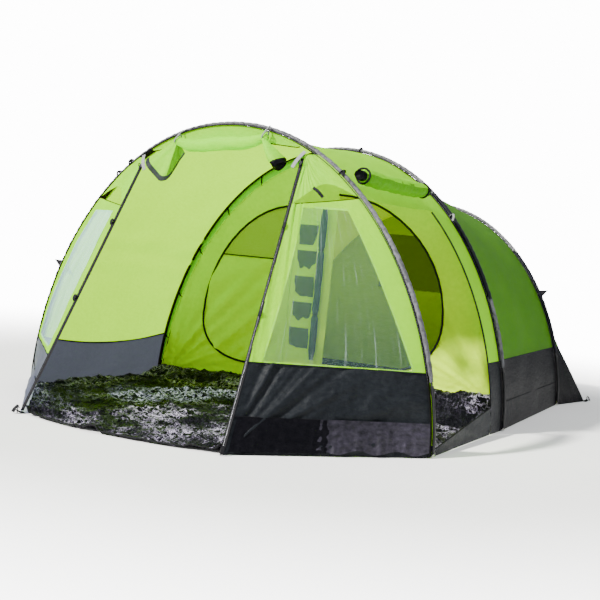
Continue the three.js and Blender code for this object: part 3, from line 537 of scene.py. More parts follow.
def grid_faces(rows, columns, wrap=False):
    i, j = np.meshgrid(np.arange(rows - 1), np.arange(columns if wrap else columns - 1), indexing="ij")
    k = (j + 1) % columns
    return np.stack([i * columns + j, (i + 1) * columns + j, (i + 1) * columns + k, i * columns + k],
                    -1).reshape(-1, 4)


def cloth_grid(name, grid, raise_by=None, material=None, stands_for=(),
               outward=None):
    """A sheet of cloth from a grid of points on its smooth shape, raised by its folds."""
    normal = normals_of(grid)
    middle = TENT_MIDDLE if outward is None else np.asarray(outward, float)
    facing = np.sign(np.sum(normal * (grid - middle), -1).sum())
    moved = grid if raise_by is None else grid + normal * facing * np.asarray(raise_by)[..., None]
    faces = grid_faces(*grid.shape[:2])
    if facing < 0:
        faces = faces[:, ::-1]
    uv = lengths(grid).reshape(-1, 2)[faces.ravel()]
    piece = make_object(name, moved.reshape(-1, 3), faces, uv, [material])
    belong(piece, stands_for=stands_for)
    declare_sheet(grid.reshape(-1, 3), faces)
    return piece


def declare_sheet(points, faces):
    """Works out a cloth piece's size before it was folded or hung, but keeps nothing of it."""
    a, b, c = (points[faces[:, k]] for k in (0, 1, 2))
    area = np.linalg.norm(np.cross(b - a, c - a), axis=1).sum() / 2
    if faces.shape[1] == 4:
        d = points[faces[:, 3]]
        area += np.linalg.norm(np.cross(c - a, d - a), axis=1).sum() / 2
    around = points - points.mean(0)
    axes = np.linalg.eigh(around.T @ around)[1][:, ::-1]
    length, width = np.ptp(around @ axes[:, :2], axis=0)
    if area > width * length:  # a curved sheet is longer than its box
        length *= area / (width * length)
    if area < LEAST_FILLED * width * length:
        width = area / (LEAST_FILLED * length)


def inside_outline(points, outline):
    """Which points lie inside a closed outline."""
    x, y = points[:, 0], points[:, 1]
    hits = np.zeros(len(points), bool)
    for (x0, y0), (x1, y1) in zip(outline, np.roll(outline, -1, axis=0)):
        crosses = (y0 > y) != (y1 > y)
        with np.errstate(divide="ignore", invalid="ignore"):
            hits ^= crosses & (x < (x1 - x0) * (y - y0) / (y1 - y0) + x0)
    return hits


def fill(outline, holes=(), step=0.02):
    """Flat points and triangles that fill an outline, leaving out its holes."""
    rings = []
    for ring in (outline, *holes):
        ring = np.asarray(ring, float)
        dense = []
        for a, b in zip(ring, np.roll(ring, -1, axis=0)):
            count = max(1, int(np.ceil(np.linalg.norm(b - a) / step)))
            dense.extend(a + (b - a) * k / count for k in range(count))
        rings.append(np.array(dense))
    low, high = rings[0].min(0), rings[0].max(0)
    xs = np.arange(low[0] + step / 2, high[0], step)
    ys = np.arange(low[1] + step / 2, high[1], step * 0.87)
    x, y = np.meshgrid(xs, ys, indexing="ij")
    x = x + (np.arange(len(ys)) % 2)[None, :] * step / 2
    inner = np.stack([x.ravel(), y.ravel()], 1)
    inner = inner[inside_outline(inner, rings[0])]
    for ring in rings[1:]:
        inner = inner[~inside_outline(inner, ring)]
    for ring in rings:
        keep = np.ones(len(inner), bool)
        for p in ring:
            keep &= np.abs(inner - p).max(1) > step * 0.45
        inner = inner[keep]
    points, edges = [], []
    for ring in rings:
        start = len(points)
        points.extend(ring)
        edges.extend((start + k, start + (k + 1) % len(ring)) for k in range(len(ring)))
    points.extend(inner)
    made = delaunay_2d_cdt([Vector(p) for p in points], edges, [], 0, 1e-6)
    spots = np.array([tuple(p) for p in made[0]])
    faces = np.array([f for f in made[2] if len(f) == 3])
    centres = spots[faces].mean(1)
    keep = inside_outline(centres, rings[0])
    for ring in rings[1:]:
        keep &= ~inside_outline(centres, ring)
    return spots, faces[keep]


def cloth_patch(name, outline, place, holes=(), step=0.02, raise_by=None, facing=(0, -1, 0), material=None,
                stands_for=(), body="tent", keep=None):
    """A sheet of cloth cut to an outline. place turns its flat points into points in the tent, and
    raise_by gives the height of its folds along the direction facing."""
    spots, faces = fill(outline, holes, step)
    if keep is not None:
        faces = faces[keep(spots[faces].mean(1))]
    smooth_points = place(spots[:, 0], spots[:, 1])
    direction = unit(facing)
    moved = smooth_points
    if raise_by is not None:
        moved = smooth_points + np.asarray(raise_by(spots[:, 0], spots[:, 1]))[:, None] * direction
    a, b, c = (smooth_points[faces[:, k]] for k in (0, 1, 2))
    if np.sum(np.cross(b - a, c - a) @ direction) < 0:
        faces = faces[:, ::-1]
    used = np.unique(faces)
    lookup = np.full(len(spots), -1)
    lookup[used] = np.arange(len(used))
    faces = lookup[faces]
    spots, moved, smooth_points = spots[used], moved[used], smooth_points[used]
    piece = make_object(name, moved, faces, spots[faces.ravel()], [material])
    belong(piece, body, stands_for)
    declare_sheet(smooth_points, faces)
    return piece


def sweep(path, section, up):
    """Points and faces of a section swept along a path, closed at its ends. section(share, turn) gives the
    two offsets of a point of the skin, across the path and along up."""
    path = np.asarray(path, float)
    along = np.gradient(path, axis=0)
    along /= np.maximum(1e-12, np.linalg.norm(along, axis=1, keepdims=True))
    side = np.cross(along, np.asarray(up, float))
    side /= np.maximum(1e-12, np.linalg.norm(side, axis=1, keepdims=True))
    lift = np.cross(side, along)
    share = np.linspace(0, 1, len(path))[:, None]
    turn = np.linspace(0, 2 * np.pi, SWEEP_SIDES, endpoint=False)[None, :]
    across, over = np.broadcast_arrays(*section(share, turn))
    rings = path[:, None] + side[:, None] * across[..., None] + lift[:, None] * over[..., None]
    points = rings.reshape(-1, 3)
    faces = [tuple(f) for f in grid_faces(len(path), SWEEP_SIDES, wrap=True)]
    last = (len(path) - 1) * SWEEP_SIDES
    faces.append(tuple(range(SWEEP_SIDES))[::-1])
    faces.append(tuple(range(last, last + SWEEP_SIDES)))
    if swept_inwards(rings, path):
        faces = [f[::-1] for f in faces]
    return points, faces


def swept_inwards(rings, path):
    """True if the wrapped grid's faces would point at the path."""
    a, b, c = rings[0, 0], rings[1, 0], rings[1, 1]
    return np.dot(np.cross(b - a, c - a), a - path[0]) < 0


def swept_uvs(points, faces, count):
    """Texture coordinates for a swept skin, in metres round and along it."""
    rings = points[: count * SWEEP_SIDES].reshape(count, SWEEP_SIDES, 3)
    along = np.concatenate([[0], np.cumsum(np.linalg.norm(np.diff(rings.mean(1), axis=0), axis=1))])
    girth = np.linalg.norm(rings - rings.mean(1, keepdims=True), axis=-1).mean() * 2 * np.pi
    uvs = []
    for face in faces:
        columns = [i % SWEEP_SIDES for i in face]
        wraps = len(face) == 4 and max(columns) - min(columns) > 1
        for i, column in zip(face, columns):
            column = column + SWEEP_SIDES if wraps and column == 0 else column
            uvs.append((girth * column / SWEEP_SIDES, along[i // SWEEP_SIDES]))
    return uvs


def tied(share, places, width=0.02):
    """How much a roll is drawn in along its length by ties: (place, depth) each."""
    return 1 - sum(depth * np.exp(-(((share - place) / width) ** 2)) for place, depth in places)


def flat_section(half_across, half_over):
    """A flat band with rounded edges, for webbing and tape."""
    def section(share, turn):
        across = np.sign(np.cos(turn)) * np.abs(np.cos(turn)) ** 0.4 * half_across
        over = np.sign(np.sin(turn)) * np.abs(np.sin(turn)) ** 0.4 * half_over
        return across + 0 * share, over + 0 * share
    return section


def swept(name, path, section, material, up=(0, 0, 1), stands_for=(), faces_of=None):
    """A piece swept along a path; faces_of may give each face's material slot from its place."""
    points, faces = sweep(path, section, up)
    uvs = swept_uvs(points, faces, len(path))
    materials = material if isinstance(material, (list, tuple)) else [material]
    slots = None
    if faces_of is not None:
        slots = [faces_of(points[list(f)].mean(0)) for f in faces]
    piece = make_object(name, points, faces, uvs, materials, slots)
    return belong(piece, stands_for=stands_for)


def curve(points, count):
    """A smooth path through a few points."""
    p = np.asarray(points, float)
    knots = np.concatenate([[0], np.cumsum(np.linalg.norm(np.diff(p, axis=0), axis=1) ** 0.5)])
    slopes = np.gradient(p, knots, axis=0)
    out = []
    for t in np.linspace(0, knots[-1], count):
        i = min(len(p) - 2, max(0, int(np.searchsorted(knots, t) - 1)))
        h = knots[i + 1] - knots[i]
        u = (t - knots[i]) / h
        out.append(p[i] * (2 * u**3 - 3 * u**2 + 1) + slopes[i] * h * (u**3 - 2 * u**2 + u)
                   + p[i + 1] * (3 * u**2 - 2 * u**3) + slopes[i + 1] * h * (u**3 - u**2))
    return np.array(out)


# ---- Geometry Nodes: what repeats along a path, and what follows one ----
def geometry_tree(name, inputs):
    """An empty node tree with a geometry and named inputs; returns it with its two end nodes."""
    tree = bpy.data.node_groups.new(name, "GeometryNodeTree")
    tree.interface.new_socket("Geometry", in_out="INPUT", socket_type="NodeSocketGeometry")
    for label, kind in inputs:
        tree.interface.new_socket(label, in_out="INPUT", socket_type=kind)
    tree.interface.new_socket("Geometry", in_out="OUTPUT", socket_type="NodeSocketGeometry")
    return tree, tree.nodes.new("NodeGroupInput"), tree.nodes.new("NodeGroupOutput")


def row_tree():
    """Small blocks in a row along a path: zip teeth and stitches."""
    tree, given, result = geometry_tree("row_along_path", [
        ("Spacing", "NodeSocketFloat"), ("Size", "NodeSocketVector"), ("Material", "NodeSocketMaterial")])
    line = node(tree, "GeometryNodeMeshToCurve", {"Mesh": given.outputs["Geometry"]})
    spots = node(tree, "GeometryNodeCurveToPoints", {
        "Curve": line.outputs["Curve"], "Length": given.outputs["Spacing"]}, mode="LENGTH")
    block = node(tree, "GeometryNodeMeshCube", {"Size": given.outputs["Size"]})
    placed = node(tree, "GeometryNodeInstanceOnPoints", {
        "Points": spots.outputs["Points"], "Instance": block.outputs["Mesh"],
        "Rotation": spots.outputs["Rotation"]})
    real = node(tree, "GeometryNodeRealizeInstances", {"Geometry": placed.outputs["Instances"]})
    painted = node(tree, "GeometryNodeSetMaterial", {
        "Geometry": real.outputs["Geometry"], "Material": given.outputs["Material"]})
    tree.links.new(painted.outputs["Geometry"], result.inputs["Geometry"])
    return tree


def cord_tree():
    """A round cord or piping along a path, closed at its ends."""
    tree, given, result = geometry_tree("cord_along_path", [
        ("Radius", "NodeSocketFloat"), ("Sides", "NodeSocketInt"), ("Material", "NodeSocketMaterial")])
    line = node(tree, "GeometryNodeMeshToCurve", {"Mesh": given.outputs["Geometry"]})
    ring = node(tree, "GeometryNodeCurvePrimitiveCircle", {
        "Radius": given.outputs["Radius"], "Resolution": given.outputs["Sides"]})
    skin = node(tree, "GeometryNodeCurveToMesh", {
        "Curve": line.outputs["Curve"], "Profile Curve": ring.outputs["Curve"], "Fill Caps": True})
    real = node(tree, "GeometryNodeRealizeInstances", {"Geometry": skin.outputs["Mesh"]})
    painted = node(tree, "GeometryNodeSetMaterial", {
        "Geometry": real.outputs["Geometry"], "Material": given.outputs["Material"]})
    tree.links.new(painted.outputs["Geometry"], result.inputs["Geometry"])
    return tree


ROW_TREE, CORD_TREE = row_tree(), cord_tree()


def grown(name, paths, tree, values, smooth_faces=True):
    """The mesh that a node tree grows on one or more paths."""
    points, edges = [], []
    for path in paths:
        start = len(points)
        points.extend(tuple(p) for p in path)
        edges.extend((k, k + 1) for k in range(start, start + len(path) - 1))
    line = bpy.data.meshes.new(f"{name}_path")
    line.from_pydata(points, edges, [])
    holder = bpy.data.objects.new(f"{name}_path", line)
    bpy.context.scene.collection.objects.link(holder)
    modifier = holder.modifiers.new("grow", "NODES")
    modifier.node_group = tree
    for item in tree.interface.items_tree:
        if item.in_out == "INPUT" and item.name in values:
            modifier[item.identifier] = values[item.name]
    holder.update_tag()
    depsgraph = bpy.context.evaluated_depsgraph_get()
    mesh = bpy.data.meshes.new_from_object(holder.evaluated_get(depsgraph))
    mesh.name = name
    mesh.polygons.foreach_set("use_smooth", [smooth_faces] * len(mesh.polygons))
    bpy.data.objects.remove(holder)
    made = bpy.data.objects.new(name, mesh)
    bpy.context.scene.collection.objects.link(made)
    return made


def piping(name, paths, radius, material=WEBBING, body="tent", sides=8):
    """A round cord along each path."""
    made = grown(name, paths, CORD_TREE, {"Radius": radius, "Sides": sides, "Material": material})
    return belong(made, body)


def stitches(name, paths, spacing, size, material):
    """A row of small blocks along each path."""
    made = grown(name, paths, ROW_TREE, {"Spacing": spacing, "Size": size, "Material": material}, False)
    return belong(made)


# ---- Poles, sleeves and legs ----
def sleeve_shade(name):
    """Which shade a sleeve shows at a place: 0 is its silver cloth, 1 a black copy of it, painted shade."""
    if name == "front":
        return lambda p: 0
    if name == "middle":
        return lambda p: 1 if 0.93 < p[2] < 1.66 else 0
    return lambda p: 1 if p[2] < 1.30 else 0


def make_sleeve(name, hoop):
    end = hoop.angle(hoop.sleeve_end)
    angles = np.linspace(end, np.pi - end, 260)
    path = hoop.at(angles)

    def section(share, turn):
        run = share * 5.2
        pull = 1 + 0.16 * noise(run * 9 + turn * 0.9, turn * 0.6 + run * 2,
                                3) + 0.10 * np.sin(run * 95 + turn * 1.5)
        ends = 1 - 0.25 * (1 - smooth(np.minimum(share, 1 - share) * 60))
        size = pull * ends
        return SLEEVE_DEPTH * 1.15 * np.cos(turn) * size, SLEEVE_WIDTH * 1.1 * np.sin(turn) * size

    # Faces in the sleeve's shadowed stretch get the painted shade.
    swept(f"{name}_sleeve_cloth", path, section, [SILVER, SHADED_SLEEVE], up=UPRIGHT,
          stands_for=[f"{name}_pole_sleeve"], faces_of=sleeve_shade(name))


def make_leg(name, hoop, side_name, turn):
    """A coated steel tube with a collar at its top, and the pin that stands in the webbing's ring."""
    top, foot = hoop.angle(hoop.leg_top + 0.004), hoop.angle(0.022)
    path = hoop.at(turn(np.linspace(foot, top, 24)))

    def section(share, angle):
        radius = LEG_RADIUS * (1 + 0.20 * smooth((share - 0.90) * 80) - 0.12 * smooth((0.01 - share) * 200))
        return radius * np.cos(angle), radius * np.sin(angle)

    node_name = f"{name}_pole_leg_{side_name}"
    swept(f"{name}_leg_tube_{side_name}", path, section, STEEL, up=UPRIGHT,
          stands_for=[node_name])
    base = path[0]
    pin = [(base[0], hoop.y, 0.0005), (base[0], hoop.y, 0.012), (base[0], base[1], 0.03)]
    piping(f"{name}_leg_pin_{side_name}", [pin], PIN_RADIUS, BRIGHT_STEEL, sides=12)


for hoop_name, hoop in HOOPS.items():
    make_sleeve(hoop_name, hoop)
    repaint(f"{hoop_name}_pole_bow", FIBRE)
    make_leg(hoop_name, hoop, "right", as_is)
    make_leg(hoop_name, hoop, "left", other_side)


# ---- Flysheet bays ----
def bay(a, b, along, angle_a, angle_b, inset=CLOTH_INSET):
    """Points of the cloth between two hoops. It dips towards the middle of the bay."""
    dip = inset + ROOF_SAG * 4 * along * (1 - along) * np.sin(angle_a)
    near, far = a.at(angle_a, dip), b.at(angle_b, dip)
    return near + (far - near) * np.asarray(along)[..., None]


def bay_grid(a, b, low, high, alongs, columns, dip=(0, 0)):
    """A grid of a bay's cloth; dip moves its two edges, in radians, half way between the hoops."""
    along, share = np.meshgrid(alongs, np.linspace(0, 1, columns), indexing="ij")
    curved = 4 * along * (1 - along) * mix(dip[0], dip[1], share)
    return bay(a, b, along, mix(low(a), high(a), share) + curved, mix(low(b), high(b), share) + curved)


def mirrored(limit):
    return lambda hoop: other_side(limit(hoop))


def at_height(height):
    return lambda hoop: hoop.angle(height)


def shoulder(hoop):
    return SHOULDER


def ground(hoop):
    return 0.0


def seams(a, b, count):
    """Steps along a bay that stop short of its hoops' seams."""
    gap = SEAM_GAP / (b.y - a.y)
    return np.linspace(gap, 1 - gap, count)


BAND_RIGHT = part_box("bedroom_mud_band_right")[1].z
BAND_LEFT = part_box("porch_mud_band_left")[1].z


def tension(grid, seed, amount):
    """Soft pulls between two hoops, strongest near them, with a few long folds."""
    uv = lengths(grid)
    s, t = uv[..., 0], uv[..., 1]
    share = s / s.max()
    reach = 0.16  # of the bay's length
    near = np.exp(-((share / reach) ** 2)) + np.exp(-(((1 - share) / reach) ** 2))
    pulls = noise(t * 9.0, s * 1.1, seed) * near
    folds = noise(s * 2.2 + 0.6 * t, t * 2.6 - s * 0.8, seed + 9) * np.sin(np.pi * share)
    edge = np.minimum(t, t.max() - t) / 0.08
    quiet = np.minimum(1, 12 * np.minimum(share, 1 - share)) * smooth(edge)
    return amount * (1.1 * pulls + 1.2 * folds) * quiet


def bay_cloth(name, a, b, low, high, rows, columns, seed, material, amount=0.010,
              alongs=None, stands_for=(), extra=None, dip=(0, 0)):
    """A bay's cloth from one hoop angle to another. extra adds folds of its own to those of the tension."""
    grid = bay_grid(a, b, low, high, seams(a, b, rows) if alongs is None else alongs, columns, dip)
    height = tension(grid, seed, amount)
    if extra is not None:
        uv = lengths(grid)
        height = height + extra(uv[..., 0], uv[..., 1], grid)
    return cloth_grid(name, grid, height, material, stands_for)


PORCH_BAND_DIP = 0.035  # how far the left mud band's seam curves down, as a hoop angle


def wall_folds(s, t, grid):
    """Level folds half way up the porch's left wall, where the cloth is slack."""
    z = grid[..., 2]
    left = smooth(-grid[..., 0] * 3)
    waves = np.sin(z * 30 + 4 * noise(s * 1.4, t, 4)) * smooth(s * 1.6)
    return 0.009 * np.exp(-(((z - 1.02) / 0.2) ** 2)) * waves * left


# The roof and its walls are one cloth. Its lower edge on the left curves down between the hoops.
bay_cloth("porch_fly_cloth", FRONT, MIDDLE, shoulder, mirrored(at_height(BAND_LEFT)), 90, 260, 1, LIME,
          stands_for=["porch_roof", "porch_wall_left"], extra=wall_folds, dip=(0, PORCH_BAND_DIP))
bay_cloth("porch_band_left_cloth", FRONT, MIDDLE, mirrored(ground), mirrored(at_height(BAND_LEFT)), 90, 36, 3,
          INSIDE_BAND, stands_for=["porch_mud_band_left"], dip=(0, PORCH_BAND_DIP))
# The bedroom bay's fly is painted shade: the lime cloth in a darker green.
bay_cloth("bedroom_fly_cloth", MIDDLE, REAR, at_height(BAND_RIGHT), mirrored(at_height(BAND_LEFT)), 100, 300,
          4, SHADED_LIME, amount=0.013, stands_for=["bedroom_roof", "bedroom_wall_right", "bedroom_wall_left"])
for side_name, turn, band in (("right", as_is, BAND_RIGHT), ("left", mirrored, BAND_LEFT)):
    bay_cloth(f"bedroom_band_{side_name}_cloth", MIDDLE, REAR, turn(ground), turn(at_height(band)), 90, 36, 6,
              SKIRT, stands_for=[f"bedroom_mud_band_{side_name}"])


# ---- Side doorway of the porch ----
bay_length = MIDDLE.y - FRONT.y
strip_end = (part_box("side_door_strip_front")[1].y - FRONT.y) / bay_length
strip_start = (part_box("side_door_strip_rear")[0].y - FRONT.y) / bay_length
gap_share = SEAM_GAP / bay_length
bay_cloth("side_strip_front_cloth", FRONT, MIDDLE, ground, shoulder, 6, 80, 11, LIME, amount=0.001,
          alongs=np.linspace(gap_share, strip_end, 8), stands_for=["side_door_strip_front"])
bay_cloth("side_strip_rear_cloth", FRONT, MIDDLE, at_height(BAND_RIGHT), shoulder, 24, 80, 12, LIME,
          amount=0.003, alongs=np.linspace(strip_start, 1 - gap_share, 24),
          stands_for=["side_door_strip_rear"])
bay_cloth("side_strip_rear_band", FRONT, MIDDLE, ground, at_height(BAND_RIGHT), 24, 30, 13, BAND,
          amount=0.003, alongs=np.linspace(strip_start, 1 - gap_share, 24))


# ---- The bell end ----
def zip_line(side_name):
    """The top and foot of a front door zip's centre line, found from its slider and its joint."""
    joint = next(j for j in frame["joints"] if j["name"] == f"front_zip_slide_{side_name}")
    down = np.array(joint["axis"], float)
    low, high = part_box(f"front_zip_slider_{side_name}")
    centre = np.array((low + high) / 2)
    forwards = unit(np.array([0, -1, 0]) + down * down[1])
    on_line = centre - forwards * SLIDER_STAND_OFF
    heights = [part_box(f"front_zip_{side_name}")[k].z for k in (1, 0)]
    return [on_line + down * (z - on_line[2]) / down[2] for z in heights]


ZIPS = {name: zip_line(name) for name in BELLS}


def bell_point(side_name, across, height):
    """A point of the bell end between the zip, at 0, and the hoop's edge, at 1."""
    across, height = np.broadcast_arrays(np.asarray(across, float), np.asarray(height, float))
    side = BELLS[side_name]["side"]
    top, foot = ZIPS[side_name]
    share = (top[2] - height) / (top[2] - foot[2])
    start = top + (foot - top) * share[..., None]
    start = start + np.array([side * ZIP_ASIDE, 0, 0])
    edge = np.stack([side * FRONT.half_width_at(np.clip(height, 0, None), CLOTH_INSET),
                     np.full(np.shape(height), FRONT.y - BELL_EDGE), height], -1)
    return start + (edge - start) * across[..., None]


BELL_WIDTH = 0.98  # nominal width of a bell panel, used to lay out its flat outline


def bell_place(side_name):
    return lambda x, z: bell_point(side_name, x / BELL_WIDTH, z)


def bell_facing(side_name):
    p = [bell_point(side_name, a, z) for a, z in ((0, 0.6), (1, 0.6), (0.4, 1.2))]
    normal = unit(np.cross(p[1] - p[0], p[2] - p[0]))
    return normal if normal[1] < 0 else -normal


def bell_pieces(side_name):
    bell = BELLS[side_name]
    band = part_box(f"front_mud_band_{side_name}")[1].z
    window_low, window_high = (corner.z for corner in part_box(f"front_window_{side_name}"))
    window_low = min(window_low, band + 0.008) if side_name == "right" else window_low
    facing = bell_facing(side_name)
    place = bell_place(side_name)
    width = BELL_WIDTH
    zip_top = ZIPS[side_name][0][2]
    panel_top = lambda a: mix(*bell["panel_top"], a)

    def window_edge(edges, z, grow):
        share = (z - window_low) / (window_high - window_low)
        return (mix(edges[0], edges[1], share) + grow) * width

    def window_outline(grow):
        heights = np.linspace(window_low - grow * width, window_high + grow * width, 14)
        inner = [(window_edge(bell["inner"], z, -grow), z) for z in heights]
        outer = [(window_edge(bell["outer"], z, grow), z) for z in heights[::-1]]
        return inner + outer

    def panel_folds(x, z):
        a = x / width
        edge = np.exp(-((a / 0.15) ** 2))
        pleats = edge * 0.022 * noise(x * 42 + z * 4, z * 1.6, 21 + bell["side"])
        pull = rays(x, z, (0.0, 0.02), 9, 1.1, 30) * 0.009
        return pleats + pull * smooth(a * 12) + 0.002 * noise(x * 7, z * 5, 8)

    heights = np.linspace(band, panel_top(0), 12)
    outline = [(0, z) for z in heights]
    outline += [(a * width, panel_top(a)) for a in np.linspace(0, 1, 12)[1:]]
    outline += [(width, z) for z in np.linspace(panel_top(1), band, 12)[1:]]
    outline += [(a * width, band) for a in np.linspace(1, 0, 12)[1:-1]]
    cloth_patch(f"front_panel_{side_name}_cloth", outline, place, [window_outline(0)], 0.014, panel_folds,
                facing, LIME, stands_for=[f"front_panel_{side_name}"])

    def film_folds(x, z):
        return 0.004 * noise(x * 3 + z * 2, z * 4 - x * 2, 40) + 0.003 * crease(x * 3.2 + z * 2.2,
                                                                                x * 1.2 - z * 2, 41)

    # The left window gets the paler film: painted sunlight.
    film = FILM if side_name == "right" else PALE_FILM
    cloth_patch(f"front_window_{side_name}_film", window_outline(0.012), place, (), 0.02, film_folds, facing,
                film, [f"front_window_{side_name}"])

    def band_folds(x, z):
        fan = rays(x, z, (0.0, 0.0), 5.5, 1.0, 50) * 0.032
        slants = 0.012 * noise(x * 10 - z * 7, z * 2.2 + x * 1.5, 51)
        small = 0.005 * crumple(x * 5 - z * 3, z * 6, 52, 3)
        return (fan + slants + small) * smooth(x / width * 14) * smooth((1 - x / width) * 14) * 0.9

    outline = [(0, z) for z in np.linspace(0, band, 8)]
    outline += [(a * width, band) for a in np.linspace(0, 1, 20)[1:]]
    outline += [(width, z) for z in np.linspace(band, 0, 8)[1:]]
    outline += [(a * width, 0) for a in np.linspace(1, 0, 20)[1:-1]]
    # The left band gets the paler copy: painted sunlight.
    cloth = BAND if side_name == "right" else SUNLIT_BAND
    cloth_patch(f"front_band_{side_name}_cloth", outline, place, (), 0.011, band_folds, facing, cloth,
                [f"front_mud_band_{side_name}"])

    def gusset_low(a):
        return panel_top(a) + 0.001 + GAP_RISE * np.sin(np.pi * a)

    def gusset_folds(x, z):
        a = x / width
        fan = rays(x, z, (0.10, zip_top), 6, 0.7, 60) * 0.012
        return (fan + 0.004 * noise(x * 6, z * 18, 61)) * smooth(a * 10) * smooth((1 - a) * 10)

    outline = [(a * width, gusset_low(a)) for a in np.linspace(0, 1, 30)]
    outline += [(a * width, zip_top - 0.004) for a in np.linspace(1, 0, 20)]
    cloth_patch(f"front_gusset_{side_name}_cloth", outline, place, (), 0.012, gusset_folds, facing, LIME,
                stands_for=[f"front_gusset_{side_name}"])


for side_name in BELLS:
    bell_pieces(side_name)


# ---- Eyebrow and the rolled front door ----
def eyebrow():
    """The narrow strip that hangs under the front hoop, between the two zips."""
    reach = [math.acos((abs(ZIPS[s][0][0]) / FRONT.half_width) ** (SIDE_POWER / 2)) for s in ("right",
                                                                                              "left")]
    start, end = reach[0] + 0.02, math.pi - reach[1] - 0.02
    share, down = spread((0, 1, 90), (0, 1, 14))
    depth = 0.014 + 0.095 * np.sin(np.pi * share) ** 0.7
    grid = FRONT.at(mix(start, end, share), CLOTH_INSET + depth * down)
    grid[..., 1] = FRONT.y - BELL_EDGE
    folds = 0.004 * noise(share * 34, down * 1.5, 70) * down
    cloth_grid("front_eyebrow_cloth", grid, folds, LIME, stands_for=["front_eyebrow"], outward=(0, 0, 1.2))
    piping("front_eyebrow_hem", [grid[:, -1] + np.array([0, -0.002, 0])], 0.0032, HEM_AND_POLE_SHADOW)


eyebrow()

DOOR_TIES = ((-0.400, 1.825), (0.282, 1.871))  # where the rolled front door is tied up, in x and z


def door_roll():
    """The front door, rolled up under the hoop between its ties."""
    y = sum(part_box("front_door_roll")[k].y for k in (0, 1)) / 2
    (x0, z0), (x1, z1) = DOOR_TIES
    path = curve([(x0 - 0.02, y, z0 - 0.01), (x0 + 0.12, y, z0 - 0.040), ((x0 + x1) / 2, y, 1.806),
                  (x1 - 0.12, y, z1 - 0.050), (x1 + 0.02, y, z1 - 0.01)], 90)

    def section(share, turn):
        size = 0.016 + 0.023 * np.sin(np.pi * share) ** 0.5
        pull = 1 + 0.22 * noise(turn * 1.1 + share * 2.5, share * 9, 80) + 0.14 * noise(turn * 2.8,
                                                                                        share * 3, 81)
        return size * 0.9 * np.cos(turn) * pull, size * 1.15 * np.sin(turn) * pull

    swept("front_door_roll_cloth", path, section, LIME, stands_for=["front_door_roll"])


door_roll()


# ---- Rear slope ----
REAR_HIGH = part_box("rear_mud_band")[1]
REAR_CORNER = np.array([REAR_HIGH.x, REAR_HIGH.y, 0])


def rear_hem(angle):
    """The rear slope's lower edge: from a hoop's foot out to a corner, then straight across."""
    turn = np.minimum(angle, np.pi - angle)
    side = np.where(angle > np.pi / 2, -1.0, 1.0)
    foot = np.array([REAR.half_width - CLOTH_INSET, REAR.y + SEAM_GAP, 0])
    middle = np.array([0, REAR_CORNER[1], 0])
    near = foot + (REAR_CORNER - foot) * np.clip(turn / REAR_CORNER_ANGLE, 0, 1)[..., None]
    share = (turn - REAR_CORNER_ANGLE) / (np.pi / 2 - REAR_CORNER_ANGLE)
    far = REAR_CORNER + (middle - REAR_CORNER) * np.clip(share, 0, 1)[..., None]
    hem = np.where((turn < REAR_CORNER_ANGLE)[..., None], near, far)
    hem[..., 0] *= side
    return hem


def rear_point(angle, share):
    """A point of the rear slope between the rear hoop, at 0, and its hem, at 1."""
    top = REAR.at(angle, CLOTH_INSET)
    top[..., 1] += SEAM_GAP
    return top + (rear_hem(angle) - top) * share[..., None]


def rear_band_share(angle, height):
    return np.maximum(0, 1 - height / REAR.at(angle, CLOTH_INSET)[..., 2])


def rear_slope():
    start = REAR.angle(BAND_RIGHT + 0.04)
    angle, share = spread((start, np.pi - start, 170), (0, 1, 60))
    grid = rear_point(angle, share * rear_band_share(angle, BAND_RIGHT))
    folds = tension(grid.transpose(1, 0, 2), 90, 0.011).T
    # The rear slope is painted shade too: the lime cloth in a darker green.
    cloth_grid("rear_panel_cloth", grid, folds, SHADED_LIME, stands_for=["rear_panel"])
    start = REAR.angle(0.04)
    angle, share = spread((start, np.pi - start, 200), (0, 1, 36))
    band = rear_point(angle, mix(rear_band_share(angle, BAND_RIGHT), 1, share))
    uv = lengths(band)
    folds = 0.010 * noise(uv[..., 0] * 9, uv[..., 1] * 2,
                          91) * smooth(share * 6) * (1 - smooth((share - 0.9) * 10))
    cloth_grid("rear_band_cloth", band, folds, SKIRT, ["rear_mud_band"])


rear_slope()


# ---- Inner tent ----
def inner_inset(angle):
    return mix(INNER_FOOT_GAP, INNER_GAP, np.sqrt(np.abs(np.sin(angle)))) + CLOTH_INSET


INNER_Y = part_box("inner_front_wall")[0].y + 0.0015  # the front wall's plane at the ground
INNER_REAR_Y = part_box("inner_rear_wall")[0].y
inner_start = (INNER_Y - MIDDLE.y) / (REAR.y - MIDDLE.y) + 0.02
inner_end = (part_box("inner_roof")[1].y - MIDDLE.y) / (REAR.y - MIDDLE.y) - 0.02


def inner_outline(hoop, low, count=60):
    """The inner tent's outline at a hoop, above a height, in x and z."""
    start = hoop.angle(low)
    angles = np.linspace(start, np.pi - start, count)
    return hoop.at(angles, inner_inset(angles))[:, [0, 2]]


def wall_place(y, lean):
    return lambda x, z: np.stack([x, y + lean * z, z], -1)


def door_outline(door):
    """A D: straight on its hinge side, rounded on the other."""
    straight, outer, top, low, widest = door
    def arc(p0, p1, p2, p3, count=14):
        t = np.linspace(0, 1, count)[:, None]
        p0, p1, p2, p3 = (np.array(p) for p in (p0, p1, p2, p3))
        return p0 * (1 - t) ** 3 + 3 * p1 * t * (1 - t) ** 2 + 3 * p2 * t * t * (1 - t) + p3 * t**3
    upper = arc((straight, top), (mix(straight, outer, 0.52), top), (outer, mix(top, widest, 0.45)),
                (outer, widest))
    lower = arc((outer, widest), (outer, mix(low, widest, 0.3)), (mix(straight, outer, 0.72), low),
                (mix(straight, outer, 0.4), low))
    return np.vstack([[(straight, low)], upper, lower[1:]])


